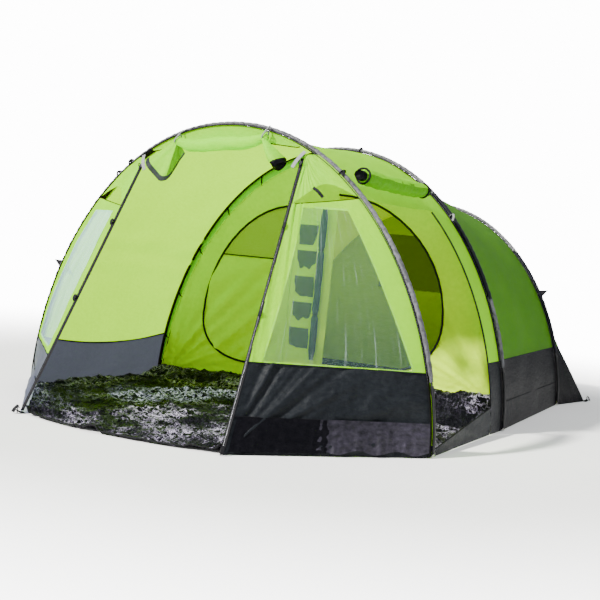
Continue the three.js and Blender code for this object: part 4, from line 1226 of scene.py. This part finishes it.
LEFT_DOOR = door_outline((-0.330, -1.105, 1.490, 0.212, 0.560))
RIGHT_DOOR = door_outline((0.040, 1.000, 1.600, 0.285, 0.700))
MESH_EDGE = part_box("inner_door_left_mesh")[0].z


def hinge_ease(x):
    """0 at the left door's hinge, where the door and the wall beside it stay flat, and 1 away from it."""
    return smooth(np.abs(x - LEFT_DOOR[0, 0]) * 7)


def inner_folds(x, z):
    fans = rays(x, z, (-1.42, 0.04), 9, 0.9, 100) + rays(x, z, (1.44, 0.2), 9, 0.8, 101)
    return hinge_ease(x) * (0.024 * fans + 0.008 * noise(x * 6 + z * 4, z * 3 - x * 2, 102))


def door_folds(x, z):
    slant = (x * 0.75 + z * 0.66)
    pleats = 0.026 * noise(slant * 2.0, (x * 0.66 - z * 0.75) * 10, 110)
    return pleats * hinge_ease(x) * smooth((MESH_EDGE - z) * 5 + 0.3)


def inner_tent():
    wall = wall_place(INNER_Y, MIDDLE.lean)
    outline = inner_outline(MIDDLE, 0.03)
    cloth_patch("inner_front_cloth", outline, wall, [LEFT_DOOR, RIGHT_DOOR], 0.02, inner_folds, (0, -1, 0),
                INNER, ["inner_front_wall"])
    cloth_patch("inner_left_door_cloth", LEFT_DOOR, wall, (), 0.014, door_folds, (0, -1, 0), INNER,
                ["inner_door_left_cloth"], body="inner_door_left",
                keep=lambda c: c[:, 1] < MESH_EDGE)
    cloth_patch("inner_left_door_mesh", LEFT_DOOR, wall, (), 0.014, door_folds, (0, -1, 0), DOOR_MESH,
                ["inner_door_left_mesh"], body="inner_door_left",
                keep=lambda c: c[:, 1] >= MESH_EDGE)

    for name, low, high, columns in (("inner_roof", shoulder, mirrored(shoulder), 110),
                                     ("inner_wall_right", at_height(INNER_WALL_FOOT), shoulder, 60),
                                     ("inner_wall_left", mirrored(at_height(INNER_WALL_FOOT)),
                                      mirrored(shoulder), 60)):
        along, share = spread((inner_start, inner_end, 60), (0, 1, columns))
        a, b = mix(low(MIDDLE), high(MIDDLE), share), mix(low(REAR), high(REAR), share)
        near, far = MIDDLE.at(a, inner_inset(a)), REAR.at(b, inner_inset(b))
        grid = near + (far - near) * along[..., None]
        folds = tension(grid, 120, 0.01) - 0.006 * np.sin(np.pi * along)
        cloth_grid(f"{name}_cloth", grid, folds, SHADED_INNER, [name])
    low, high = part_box("inner_rear_window")
    window = rectangle(low.x, low.z, high.x, high.z)
    rear = wall_place(INNER_REAR_Y, REAR.lean)
    cloth_patch("inner_rear_cloth", inner_outline(REAR, INNER_WALL_FOOT), rear, [window], 0.03,
                lambda x, z: 0.01 * noise(x * 3, z * 3, 130), (0, 1, 0), SHADED_INNER,
                ["inner_rear_wall"])
    cloth_patch("inner_rear_window_mesh", window, rear, (), 0.04, None, (0, 1, 0), DARK_MESH,
                ["inner_rear_window"])


inner_tent()


# ---- Groundsheets ----
FRONT_LIP_BOW = 0.13  # how far the sheet's front lip bulges out between the corner pegs


def porch_sheet():
    """The porch's groundsheet, laid loosely: crumpled, with long creases and a lip that bows out."""
    low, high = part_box("porch_groundsheet")
    front_half = abs(ZIPS["right"][1][0])
    ys = np.linspace(low.y, high.y - 0.002, 260)
    share, y = np.meshgrid(np.linspace(-1, 1, 320), ys, indexing="ij")
    bell = np.clip((y - low.y) / (FRONT.y - low.y), 0, 1)
    half = np.where(y <= FRONT.y, mix(front_half - 0.02, FRONT.half_width - 0.045, bell),
                    mix(FRONT.half_width, MIDDLE.half_width, (y - FRONT.y) / bay_length) - 0.045)
    lip = smooth((y - (high.y - 0.22)) / 0.21)
    height = lip * mix(0.06, high.z * 0.98, (share + 1) / 2)
    bow = FRONT_LIP_BOW * (1 - np.abs(share) ** 2.2) * smooth((FRONT.y - y) / (FRONT.y - low.y))
    y = y - bow
    grid = np.stack([share * half, y, 0.010 + height], -1)
    x = grid[..., 0]
    rough = 0.020 * crumple(x * 1.8, y * 1.8, 3, 5) + 0.010 * noise(x * 3.5, y * 3.5, 5)
    rough += 0.016 * crumple(x * 5.5, y * 5.5, 6, 4)
    for (px, py), (qx, qy) in (((-0.72, -2.4), (1.3, -0.9)), ((0.72, -2.4), (-1.2, -1.0)),
                               ((-1.3, -0.8), (0.9, -2.2))):
        line = np.array([qx - px, qy - py])
        off = ((x - px) * line[1] - (y - py) * line[0]) / np.linalg.norm(line)
        rough += 0.014 * np.exp(-((off / 0.022) ** 2))
    rough = np.maximum(rough, -0.007)
    cloth_grid("porch_groundsheet_film", grid, rough, SHEET, ["porch_groundsheet"],
               outward=(0, -1, -40))
    hem = grid[:, 0] + np.array([0, -0.002, 0.004])
    hem[:, 2] += np.maximum(rough[:, 0], 0)
    swept("porch_sheet_hem", hem[::2], flat_section(0.012, 0.005), BINDING,
          up=(0, 0.2, 1))


def bedroom_sheet():
    low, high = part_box("bedroom_groundsheet")
    along, share = spread((0, 1, 120), (-1, 1, 140))
    y = mix(low.y + 0.004, high.y - 0.004, along)
    half = mix(abs(low.x), REAR.half_width - 0.09, along) - 0.004
    edge = np.minimum(np.minimum(along, 1 - along) * (high.y - low.y), (1 - np.abs(share)) * half)
    grid = np.stack([share * half, y, 0.004 + (high.z - 0.006) * (1 - smooth(edge / 0.05))], -1)
    folds = 0.006 * crumple(grid[..., 0] * 2, grid[..., 1] * 2, 9, 3)
    cloth_grid("bedroom_groundsheet_film", grid, np.maximum(folds, -0.002), SHEET,
               ["bedroom_groundsheet"], outward=(0, 1, -40))


porch_sheet()
bedroom_sheet()


# ---- The rolled front door's ends ----
DOOR_Y = sum(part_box("front_door_roll")[k].y for k in (0, 1)) / 2


def cone_cloth(name, tip, rim, bulge, folds, seed, band_share):
    """Cloth that fans out from a tie: rim is its free edge, with a band of darker cloth along it."""
    tip = np.array([tip[0], DOOR_Y, tip[1]])
    edge = curve([(x, DOOR_Y + y, z) for x, y, z in rim], 90)
    turn, share = spread((0, 1, 90), (0.03, 1, 50))
    grid = tip + (edge[:, None] - tip) * share[..., None]
    grid[..., 1] -= bulge * np.sin(np.pi * turn) * share
    height = share * (0.016 * np.sin(turn * folds * 2 * np.pi + seed) + 0.012 * noise(turn * 9, share * 2.5,
                                                                                      seed))
    split, fold = int(50 * band_share), 52
    # The fan's far part is painted shade: the lime cloth in the darker green.
    parts = (("cloth", np.s_[:fold, :split + 1], 0, LIME, "flysheet"),
             ("fold", np.s_[fold - 1:, :split + 1], 0, SHADED_LIME, "flysheet"),
             ("band", np.s_[:, split:], 0.001, INSIDE_BAND, "band_cloth"))
    for part, cut, lift, material, slot in parts:
        cloth_grid(f"{name}_{part}", grid[cut], height[cut] + lift, material,
                   outward=(0, FRONT.y + 1, 1.7))


def door_ends():
    """The left end hangs open as a fan; the right end is a cone with its dark hem rolled in."""
    left_tie, right_tie = DOOR_TIES
    rim = [(-0.665, 0.0, 1.690), (-0.610, -0.020, 1.640), (-0.545, -0.030, 1.585), (-0.470, -0.020, 1.535),
           (-0.440, 0.010, 1.555), (-0.400, 0.035, 1.640), (-0.375, 0.045, 1.735)]
    cone_cloth("front_door_end_left", left_tie, rim, 0.045, 2.4, 5, 0.86)
    (x, z), y = right_tie, DOOR_Y
    path = curve([(x - 0.02, y, z), (x + 0.02, y - 0.01, z - 0.06), (x + 0.085, y - 0.02, z - 0.135),
                  (x + 0.150, y - 0.03, z - 0.195)], 60)

    def section(share, turn):
        size = 0.014 + 0.044 * smooth(share * 1.15) - 0.012 * smooth((share - 0.9) * 10)
        pull = 1 + 0.14 * np.sin(turn * 3 + 1.2) + 0.16 * noise(turn * 1.3, share * 4, 84)
        return size * np.cos(turn) * pull, size * 0.8 * np.sin(turn) * pull

    swept("front_door_end_right_cloth", path, section, [LIME, SKIRT],
          faces_of=lambda p: 1 if (p[0] - x) * 0.6 - (p[2] - z) * 0.8 > 0.205 else 0)
    for name, (tx, tz) in zip(("left", "right"), DOOR_TIES):
        loop = round_path((tx, DOOR_Y, tz), (0.015, 0, 0.026), (0, 0.030, 0))
        hang = [(tx, DOOR_Y - 0.01, tz + 0.02), (tx + 0.004, FRONT.y - 0.035, tz + 0.065)]
        piping(f"front_door_tie_{name}", [loop, hang], 0.005, GREY_WEB)


door_ends()


# ---- Rolled side door, under the eave of the roof ----
def side_roll():
    """The side door: a roll that sags between its ties, lime above and painted shade beneath."""
    low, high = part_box("side_door_roll")
    x, z = (low.x + high.x) / 2, (low.z + high.z) / 2
    radius = (high.z - low.z) / 2 * 0.92
    start, end = low.y + 0.02, high.y - 0.03
    lean = (high.z - low.z) * 0.12
    ys = np.linspace(start, end, 160)
    share = (ys - start) / (end - start)
    path = np.stack([x - 0.02 * share, ys, z + lean * (0.5 - share) - 0.012 * np.sin(np.pi * share)], 1)

    def section(share, turn):
        ends = 0.60 + 0.40 * smooth(share * 9) * smooth((1 - share) * 8)
        tie = tied(share, ((0.93, 0.30), (0.06, 0.22)))
        pull = 1 + 0.20 * noise(turn * 1.2 + share * 3, share * 11, 88) + 0.10 * noise(turn * 3, share * 26,
                                                                                       89)
        size = radius * ends * tie * pull
        return size * np.cos(turn) * 1.05, size * np.sin(turn) * 1.1

    def tone(p):
        if p[1] < start + 0.055 or p[1] > end - 0.030:
            return 2
        # Faces below the roll's middle are painted shade, in the darker green.
        centre = z + lean * 0.5
        return 1 if p[2] < centre + 0.004 else 0

    swept("side_door_roll_cloth", path, section, [LIME, SHADED_LIME, SKIRT],
          stands_for=["side_door_roll"], faces_of=tone)
    for name, place in (("front", 0.06), ("rear", 0.93)):
        loop = round_path(path[int(place * 159)], (radius * 0.98, 0, 0), (0, 0, radius), 30)
        loop[:, 1] += 0.006 * np.sin(2 * np.linspace(0, 2 * np.pi, 30))
        piping(f"side_door_tie_{name}", [loop], 0.007)


side_roll()


# ---- Tapes over the hoops' seams ----
def hoop_tapes():
    """Seam tapes with their stitches beside each sleeve, and a dark strip of painted pole shadow under it."""
    for name, hoop in HOOPS.items():
        angles = np.linspace(0.002, np.pi - 0.002, 240)
        path = hoop.at(angles, CLOTH_INSET - 0.002)
        width = 0.013 if name == "middle" else 0.008
        for place, shift in (("front", -0.031 if name == "front" else -0.027), ("rear", 0.027)):
            swept(f"{name}_seam_tape_{place}", path + np.array([0, shift, 0]), flat_section(0.0012, width),
                  BINDING, up=UPRIGHT)
            row = hoop.at(angles[20:-20], CLOTH_INSET - 0.0045) + np.array([0, shift, 0])
            stitches(f"{name}_seam_stitches_{place}", [row], 0.016, (0.0014, 0.0014, 0.008), GREY_WEB)
        # The dark strip inside each hoop is painted shadow of the pole.
        inner = hoop.at(angles, CLOTH_INSET + 0.005)
        half, shift = (0.038, -0.012) if name == "middle" else (0.024, 0)
        inner = inner + np.array([0, shift, 0])
        swept(f"{name}_seam_painted_pole_shadow", inner, flat_section(0.0012, half), HEM_AND_POLE_SHADOW,
              up=UPRIGHT)


hoop_tapes()


def bay_line(a, b, limit, lift, dip=0.0):
    """A line along a bay at a hoop angle, a little above its cloth."""
    along = seams(a, b, 60)
    curved = 4 * along * (1 - along) * dip
    return bay(a, b, along, limit(a) + curved, limit(b) + curved, CLOTH_INSET - lift)


def bell_line(side_name, height, lift=0.004):
    return bell_point(side_name, np.linspace(0, 1, 60), np.full(60, height)) + bell_facing(side_name) * lift


def bell_hit(place, lift):
    """The right bell panel's point in front of a place in x and z."""
    share = np.linspace(0, 1, 200)
    line = bell_point("right", share, np.full(200, place[2]))
    k = int(np.argmin(np.abs(line[:, 0] - place[0])))
    return line[k] + bell_facing("right") * lift


def band_seams():
    porch = bay_line(FRONT, MIDDLE, mirrored(at_height(BAND_LEFT)), 0.0, PORCH_BAND_DIP)
    right = bay_line(MIDDLE, REAR, at_height(BAND_RIGHT), 0.001)
    left = bay_line(MIDDLE, REAR, mirrored(at_height(BAND_LEFT)), 0.001)
    piping("band_seams", [porch, right, left], 0.0045, BINDING)
    low = [bay_line(MIDDLE, REAR, turn(at_height(SKIRT_TOP)), 0.002) for turn in (as_is, mirrored)]
    low += [bell_line(name, SKIRT_TOP, 0.004) for name in BELLS]
    piping("skirt_seams", low, 0.003, BINDING)
    piping("bell_band_seams", [bell_line("right", BAND_RIGHT), bell_line("left", BAND_LEFT)], 0.003, BINDING)
    across = np.linspace(0.004, 0.99, 50)
    tops = [bell_point(name, across, mix(*bell["panel_top"], across)) for name, bell in BELLS.items()]
    piping("bell_panel_tops", tops, 0.0028, HEM_AND_POLE_SHADOW)
    start, end = np.array([0.690, 0, 1.548]), np.array([0.765, 0, 1.492])
    strap = curve([bell_hit(start, 0.010), bell_hit((start + end) / 2, 0.022), bell_hit(end, 0.010)], 16)
    swept("lens_strap", strap, flat_section(0.010, 0.0016), WEBBING, up=(0, -1, 0.3))
    start = REAR.angle(BAND_RIGHT + 0.04)
    angle = np.linspace(start, np.pi - start, 120)
    piping("rear_band_seam", [rear_point(angle, rear_band_share(angle, BAND_RIGHT))], 0.0045, BINDING)


band_seams()


# ---- Skirts: the mud band's gathered lower tier on the right of the bell end ----
SKIRT_CLEAR = 0.014  # the skirt's folds stay at least this far in front of the band


def skirt(name, start, end, top, bottom, depth, material, seed, stand=0.012):
    """Gathered cloth over the lower tier; its pleats deepen towards the ground."""
    place = bell_place("right")
    facing = bell_facing("right")
    outline = [(x, bottom(x)) for x in np.linspace(start, end, 30)]
    outline += [(x, top) for x in np.linspace(end, start, 30)]

    def folds(x, z):
        fall = np.clip((top - z) / top, 0, 1)
        pleats = noise(x * 17, z * 1.5, seed) + 0.7 * noise(x * 38, z * 3, seed + 1)
        fold = stand + depth * (pleats * (0.35 + fall) + 0.7 * crumple(x * 5, z * 7, seed + 2, 3) * fall)
        return SKIRT_CLEAR + np.logaddexp(0, (fold - SKIRT_CLEAR) * 160) / 160

    cloth_patch(name, outline, place, (), 0.009, folds, facing, material)


skirt("front_skirt_outer", 0.42, 0.975, SKIRT_TOP, lambda x: 0.018 + 0.012 * math.sin(x * 33), 0.024,
      RUFFLE, 143)
skirt("front_skirt_inner", 0.02, 0.47, SKIRT_TOP - 0.004, lambda x: 0.012, 0.014, SKIRT, 146, 0.010)


# ---- Sill of the side doorway ----
def sill():
    low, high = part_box("side_door_sill")
    start, end = (low.y - FRONT.y) / bay_length, (high.y - FRONT.y) / bay_length
    along, share = spread((start, end, 80), (0, 1, 24))
    top = mix(0.045, high.z, (along - start) / (end - start))
    height = top * share
    grid = bay(FRONT, MIDDLE, along, FRONT.angle(height), MIDDLE.angle(height))
    uv = lengths(grid)
    folds = 0.010 * noise(uv[..., 0] * 3 + uv[..., 1] * 9, uv[..., 1] * 6, 150) * smooth(share * 3)
    cloth_grid("side_sill_cloth", grid, folds, BAND, ["side_door_sill"])
    piping("side_sill_edge", [grid[:, -1]], 0.004, BINDING)


sill()


# ---- Zips ----
def zip_along(name, path, up, stands_for, width=0.013):
    """A zip: a tape on each side and a row of teeth."""
    swept(f"{name}_tape", path, flat_section(width, 0.0009), TAPE, up=up, stands_for=stands_for)
    stitches(f"{name}_teeth", [path + unit(up) * 0.0022], 0.006, (0.0032, 0.0075, 0.0030), SLIDER)


def front_zips():
    for name, (top, foot) in ZIPS.items():
        path = top + (foot - top) * np.linspace(0.02, 0.995, 80)[:, None]
        zip_along(f"front_zip_{name}", path, (0, -1, 0.001), [f"front_zip_{name}"])
        body = f"zip_slider_{name}"
        low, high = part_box(f"front_zip_slider_{name}")
        repaint(f"front_zip_slider_{name}", SLIDER)
        middle = (low + high) / 2
        loop = round_path((middle.x, low.y - 0.004, middle.z + 0.008), (0.006, 0, 0), (0, 0, 0.010), 20)
        tail = [(middle.x, low.y - 0.004, middle.z - 0.002), (middle.x + 0.002, low.y - 0.007, low.z + 0.004),
                (middle.x, low.y - 0.005, low.z - 0.010)]
        piping(f"front_zip_puller_{name}", [loop, tail], 0.0022, WEBBING, body)


front_zips()


def side_zip():
    share = np.linspace(0, 1, 80)
    along = np.full(80, strip_start - 0.006)
    foot = 0.21
    angle_a, angle_b = (mix(hoop.angle(foot), SHOULDER - 0.01, share) for hoop in (FRONT, MIDDLE))
    zip_along("side_door_zip", bay(FRONT, MIDDLE, along, angle_a, angle_b), (1, -0.3, 0.001),
              ["side_door_zip"], 0.009)


side_zip()


# ---- Toggles on the zips, and the inner tent's hangers ----
def toggles():
    for name, heights in (("left", (1.235, 0.725)), ("right", (1.300, 0.770))):
        side = BELLS[name]["side"]
        top, foot = ZIPS[name]
        for k, height in enumerate(heights):
            base = top + (foot - top) * (top[2] - height) / (top[2] - foot[2])
            path = base + np.array([[side * 0.004, -0.006, 0.020], [side * 0.010, -0.016, 0.006],
                                    [side * 0.010, -0.018, -0.012], [side * 0.003, -0.008, -0.026]])
            swept(f"door_toggle_{name}_{k}", curve(path, 16), flat_section(0.010, 0.0022), WEBBING,
                  up=(0, 1, 0))


def hangers():
    """Short elastic straps that hold the inner tent to the middle hoop."""
    straps = []
    for height in (0.34, 0.708, 1.092, 1.447, 1.724):
        for turn in (as_is, other_side):
            angle = turn(MIDDLE.angle(height))
            pole = MIDDLE.at(np.array(angle), 0.022) + np.array([0, -0.016, 0])
            edge = MIDDLE.at(np.array(turn(MIDDLE.angle(height - 0.012))), inner_inset(angle) + 0.004)
            edge[1] = INNER_Y + MIDDLE.lean * edge[2] - 0.004
            middle = (pole + edge) / 2 + np.array([0, -0.008, -0.004])
            straps.append(curve([pole, middle, edge], 10))
    piping("inner_hangers", straps, 0.0052)


toggles()
hangers()


# ---- Inner tent trims ----
def inner_trims():
    wall = wall_place(INNER_Y - 0.004, MIDDLE.lean)
    rounds = []
    for outline in (LEFT_DOOR, RIGHT_DOOR):
        rounds.append(wall(outline[1:, 0], outline[1:, 1]))
    piping("inner_door_zips", rounds, 0.0085, TAPE)
    left_straight = wall(LEFT_DOOR[:2, 0] + 0.012, LEFT_DOOR[:2, 1])
    piping("inner_door_hinge_seam", [left_straight], 0.003, INNER)
    inside = LEFT_DOOR[LEFT_DOOR[:, 1] > MESH_EDGE]
    reach = inside[:, 0].min() - 0.02
    xs = np.linspace(LEFT_DOOR[0, 0] - 0.004, reach, 30)
    piping("inner_door_mesh_seam", [wall(xs, np.full(30, MESH_EDGE))], 0.005, TAPE,
           "inner_door_left")
    edge = inner_outline(MIDDLE, 0.05, 160)
    piping("inner_edge_piping", [wall(edge[:, 0], edge[:, 1])], 0.0035, INNER)
    angles = np.linspace(MIDDLE.angle(0.12), np.pi - MIDDLE.angle(0.12), 200)
    turn, share = np.meshgrid(angles, np.linspace(0, 1, 8), indexing="ij")
    strip = MIDDLE.at(turn, mix(0.020, inner_inset(turn), share))
    strip[..., 1] = mix(MIDDLE.y - 0.012, INNER_Y, share) + MIDDLE.lean * strip[..., 2]
    cloth_grid("inner_edge_strip", strip, 0.005 * noise(turn * 24, share, 160) * np.sin(np.pi * share),
               PALE_INNER, outward=(0, 3, 0.8))


def inner_roll():
    """The inner tent's right door, rolled and tied beside its doorway."""
    low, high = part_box("inner_door_right_roll")
    x, y, radius = (low.x + high.x) / 2, (low.y + high.y) / 2, (high.x - low.x) / 2 * 0.93
    share = np.linspace(0, 1, 120)
    heights = mix(low.z + 0.01, high.z - 0.01, share)
    path = np.stack([np.full(120, x), y + 0.022 * (share - 0.5), heights], 1)

    def section(share, turn):
        ties = tied(share, ((0.3, 0.35), (0.72, 0.35)))
        pull = 1 + 0.2 * noise(turn * 1.2, share * 8, 170)
        size = radius * ties * pull * (0.6 + 0.4 * smooth(share * 14) * smooth((1 - share) * 14))
        return size * np.cos(turn), size * np.sin(turn) * 0.9

    swept("inner_right_door_roll_cloth", path, section, ROLLED_MESH, up=(0, 1, 0),
          stands_for=["inner_door_right_roll"])
    for k in (36, 86):
        loop = round_path(path[k], (radius * 0.8, 0, 0), (0, radius * 0.8, 0))
        piping(f"inner_roll_tie_{k}", [loop], 0.004)


def pockets():
    """A column of mesh pockets with coloured hems on a backing strip."""
    low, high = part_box("organiser")
    y = low.y + 0.004
    count, hem = 5, 0.026
    pitch = (high.z - low.z) / count
    back = wall_place(y + 0.006, MIDDLE.lean)
    cloth_patch("organiser_back", rectangle(low.x, low.z, high.x, high.z), back, (), 0.03,
                lambda x, z: 0.003 * noise(x * 12, z * 6, 180), (0, -1, 0), INNER,
                ["organiser"])
    front = wall_place(y, MIDDLE.lean)
    for k in range(count):
        bottom, top = low.z + pitch * k + 0.006, low.z + pitch * (k + 1) - 0.012
        left, right = low.x + 0.001, high.x - 0.001

        def belly(x, z, bottom=bottom, top=top, k=k):
            u, v = (x - low.x) / (high.x - low.x), (z - bottom) / (top - bottom)
            full = np.sin(np.pi * np.clip(u, 0, 1)) * np.clip(v * 1.3, 0, 1)
            return 0.020 * full + 0.004 * noise(x * 22, z * 9, 181 + k)

        cloth_patch(f"organiser_pocket_{k}", rectangle(left, bottom, right, top - hem), front, (), 0.012,
                    belly, (0, -1, 0), DARK_MESH)
        cloth_patch(f"organiser_hem_{k}", rectangle(left, top - hem, right, top), front, (), 0.010, belly,
                    (0, -1, 0), INNER)


inner_trims()
inner_roll()
pockets()


# ---- Feet, pegs, webbing and guy tabs ----
def ground_trims():
    """Rings and webbing at the hoops' feet, and the webbing that the pegs hold."""
    rings, tails = [], []
    for hoop in HOOPS.values():
        for side in (1, -1):
            x = side * hoop.half_width
            rings.append(round_path((x - side * 0.006, hoop.y, 0.009), (0.014, 0, 0), (0, 0.014, 0)))
            tails.append([(x - side * 0.016, hoop.y, 0.070), (x - side * 0.018, hoop.y, 0.035),
                          (x - side * 0.014, hoop.y, 0.010)])
    piping("foot_rings", rings, 0.0022, BRIGHT_STEEL)
    piping("foot_webbing", tails, 0.0065)
    for name in ("front_peg_left", "front_peg_right", "rear_peg_left", "rear_peg_right"):
        repaint(name, STEEL)
        low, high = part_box(name)
        x, y = (low.x + high.x) / 2, (low.y + high.y) / 2
        away = -1 if y < 0 else 1
        side = 1 if x > 0 else -1
        loop = curve([(x - side * 0.004, y - away * 0.040, 0.004), (x, y - away * 0.018, 0.008),
                      (x + side * 0.006, y + away * 0.002, 0.018),
                      (x - side * 0.010, y - away * 0.010, 0.007),
                      (x - side * 0.018, y - away * 0.036, 0.004)], 24)
        swept(f"{name}_webbing", loop, flat_section(0.013, 0.0022), WEBBING, up=(0.3, 0.1, 1))
        tail = curve([(x + side * 0.008, y - away * 0.006, 0.050),
                      (x + side * 0.016, y + away * 0.014, 0.030),
                      (x + side * 0.020, y + away * 0.026, 0.008)], 14)
        swept(f"{name}_tail", tail, flat_section(0.011, 0.0018), WEBBING, up=(0.3, 0.1, 1))


def guy_tabs():
    for name, hoop in (("guy_tab_front_left", FRONT), ("guy_tab_rear_left", REAR),
                       ("guy_tab_rear_right", REAR)):
        low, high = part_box(name)
        side = 1 if low.x > 0 else -1
        centre = np.array((low + high) / 2)
        angle = hoop.angle(centre[2])
        angle = angle if side > 0 else np.pi - angle
        base = hoop.at(np.array(angle), -SLEEVE_DEPTH)
        out = hoop.at(np.array(angle), -SLEEVE_DEPTH - 0.06)
        along = hoop.at(np.array(angle + 0.01)) - hoop.at(np.array(angle))
        along = along / np.linalg.norm(along)
        u, v = spread((-1, 1, 20), (0, 1, 14))
        grid = base + along * (u * 0.030 * (1 - v * 0.85))[..., None] + (out - base) * v[..., None]
        grid[..., 1] += 0.004 * noise(u * 3, v * 3, 190)
        cloth_grid(f"{name}_webbing", grid, None, WEBBING, [name])
        loop = round_path(out, (out - base) * 0.12, (0, 0.008, 0), 16)
        piping(f"{name}_ring", [loop], 0.002, BRIGHT_STEEL)


def hoop_straps():
    """Webbing stitched round the sleeves, each piece with a hanging tail."""
    spots = (("front_left_high", FRONT, np.pi - FRONT.angle(1.66), WEBBING, 0.016),
             ("front_left_low", FRONT, np.pi - FRONT.angle(1.58), WEBBING, 0.012),
             ("front_right_high", FRONT, FRONT.angle(1.66), WEBBING, 0.012),
             ("middle_right", MIDDLE, MIDDLE.angle(1.50), GREY_WEB, 0.010),
             ("middle_top", MIDDLE, np.pi / 2 - 0.1, WEBBING, 0.012))
    for name, hoop, angle, material, width in spots:
        centre = hoop.at(np.array(angle))
        out = unit(hoop.at(np.array(angle), -0.1) - centre)
        loop = round_path(centre, out * 0.0155, (0, 0.0265, 0), 40)
        swept(f"strap_{name}", loop, flat_section(width, 0.0012), material,
              up=np.cross(out, [0, 1, 0]))
        hang = [centre + out * 0.014 + np.array([0, -0.02, 0]),
                centre + out * 0.034 + np.array([0, -0.024, -0.02]),
                centre + out * 0.030 + np.array([0, -0.024, -0.055])]
        swept(f"strap_tail_{name}", curve(hang, 14), flat_section(0.008, 0.0014), material,
              up=(0, 1, 0.1))


ground_trims()
guy_tabs()
hoop_straps()


# ---- Straps over the tops of the front zips ----
def zip_straps():
    """Grey webbing that runs inwards from the top of each front zip."""
    for name, (top, foot) in ZIPS.items():
        side = BELLS[name]["side"]
        start = top + np.array([side * 0.012, -0.008, 0.012])
        end = top + (foot - top) * 0.055 + np.array([-side * 0.050, -0.014, 0])
        path = curve([start, (start + end) / 2 + np.array([0, -0.012, 0]), end], 24)
        swept(f"zip_strap_{name}", path, flat_section(0.013, 0.0014), GREY_WEB, up=(0, -1, 0.3))


zip_straps()


# ---- Floor ----
floor = make_object("pale_floor",
                    [(-30, -30, -0.002), (30, -30, -0.002), (30, 30, -0.002), (-30, 30, -0.002)],
                    [(0, 1, 2, 3)], None, [PALE_FLOOR])
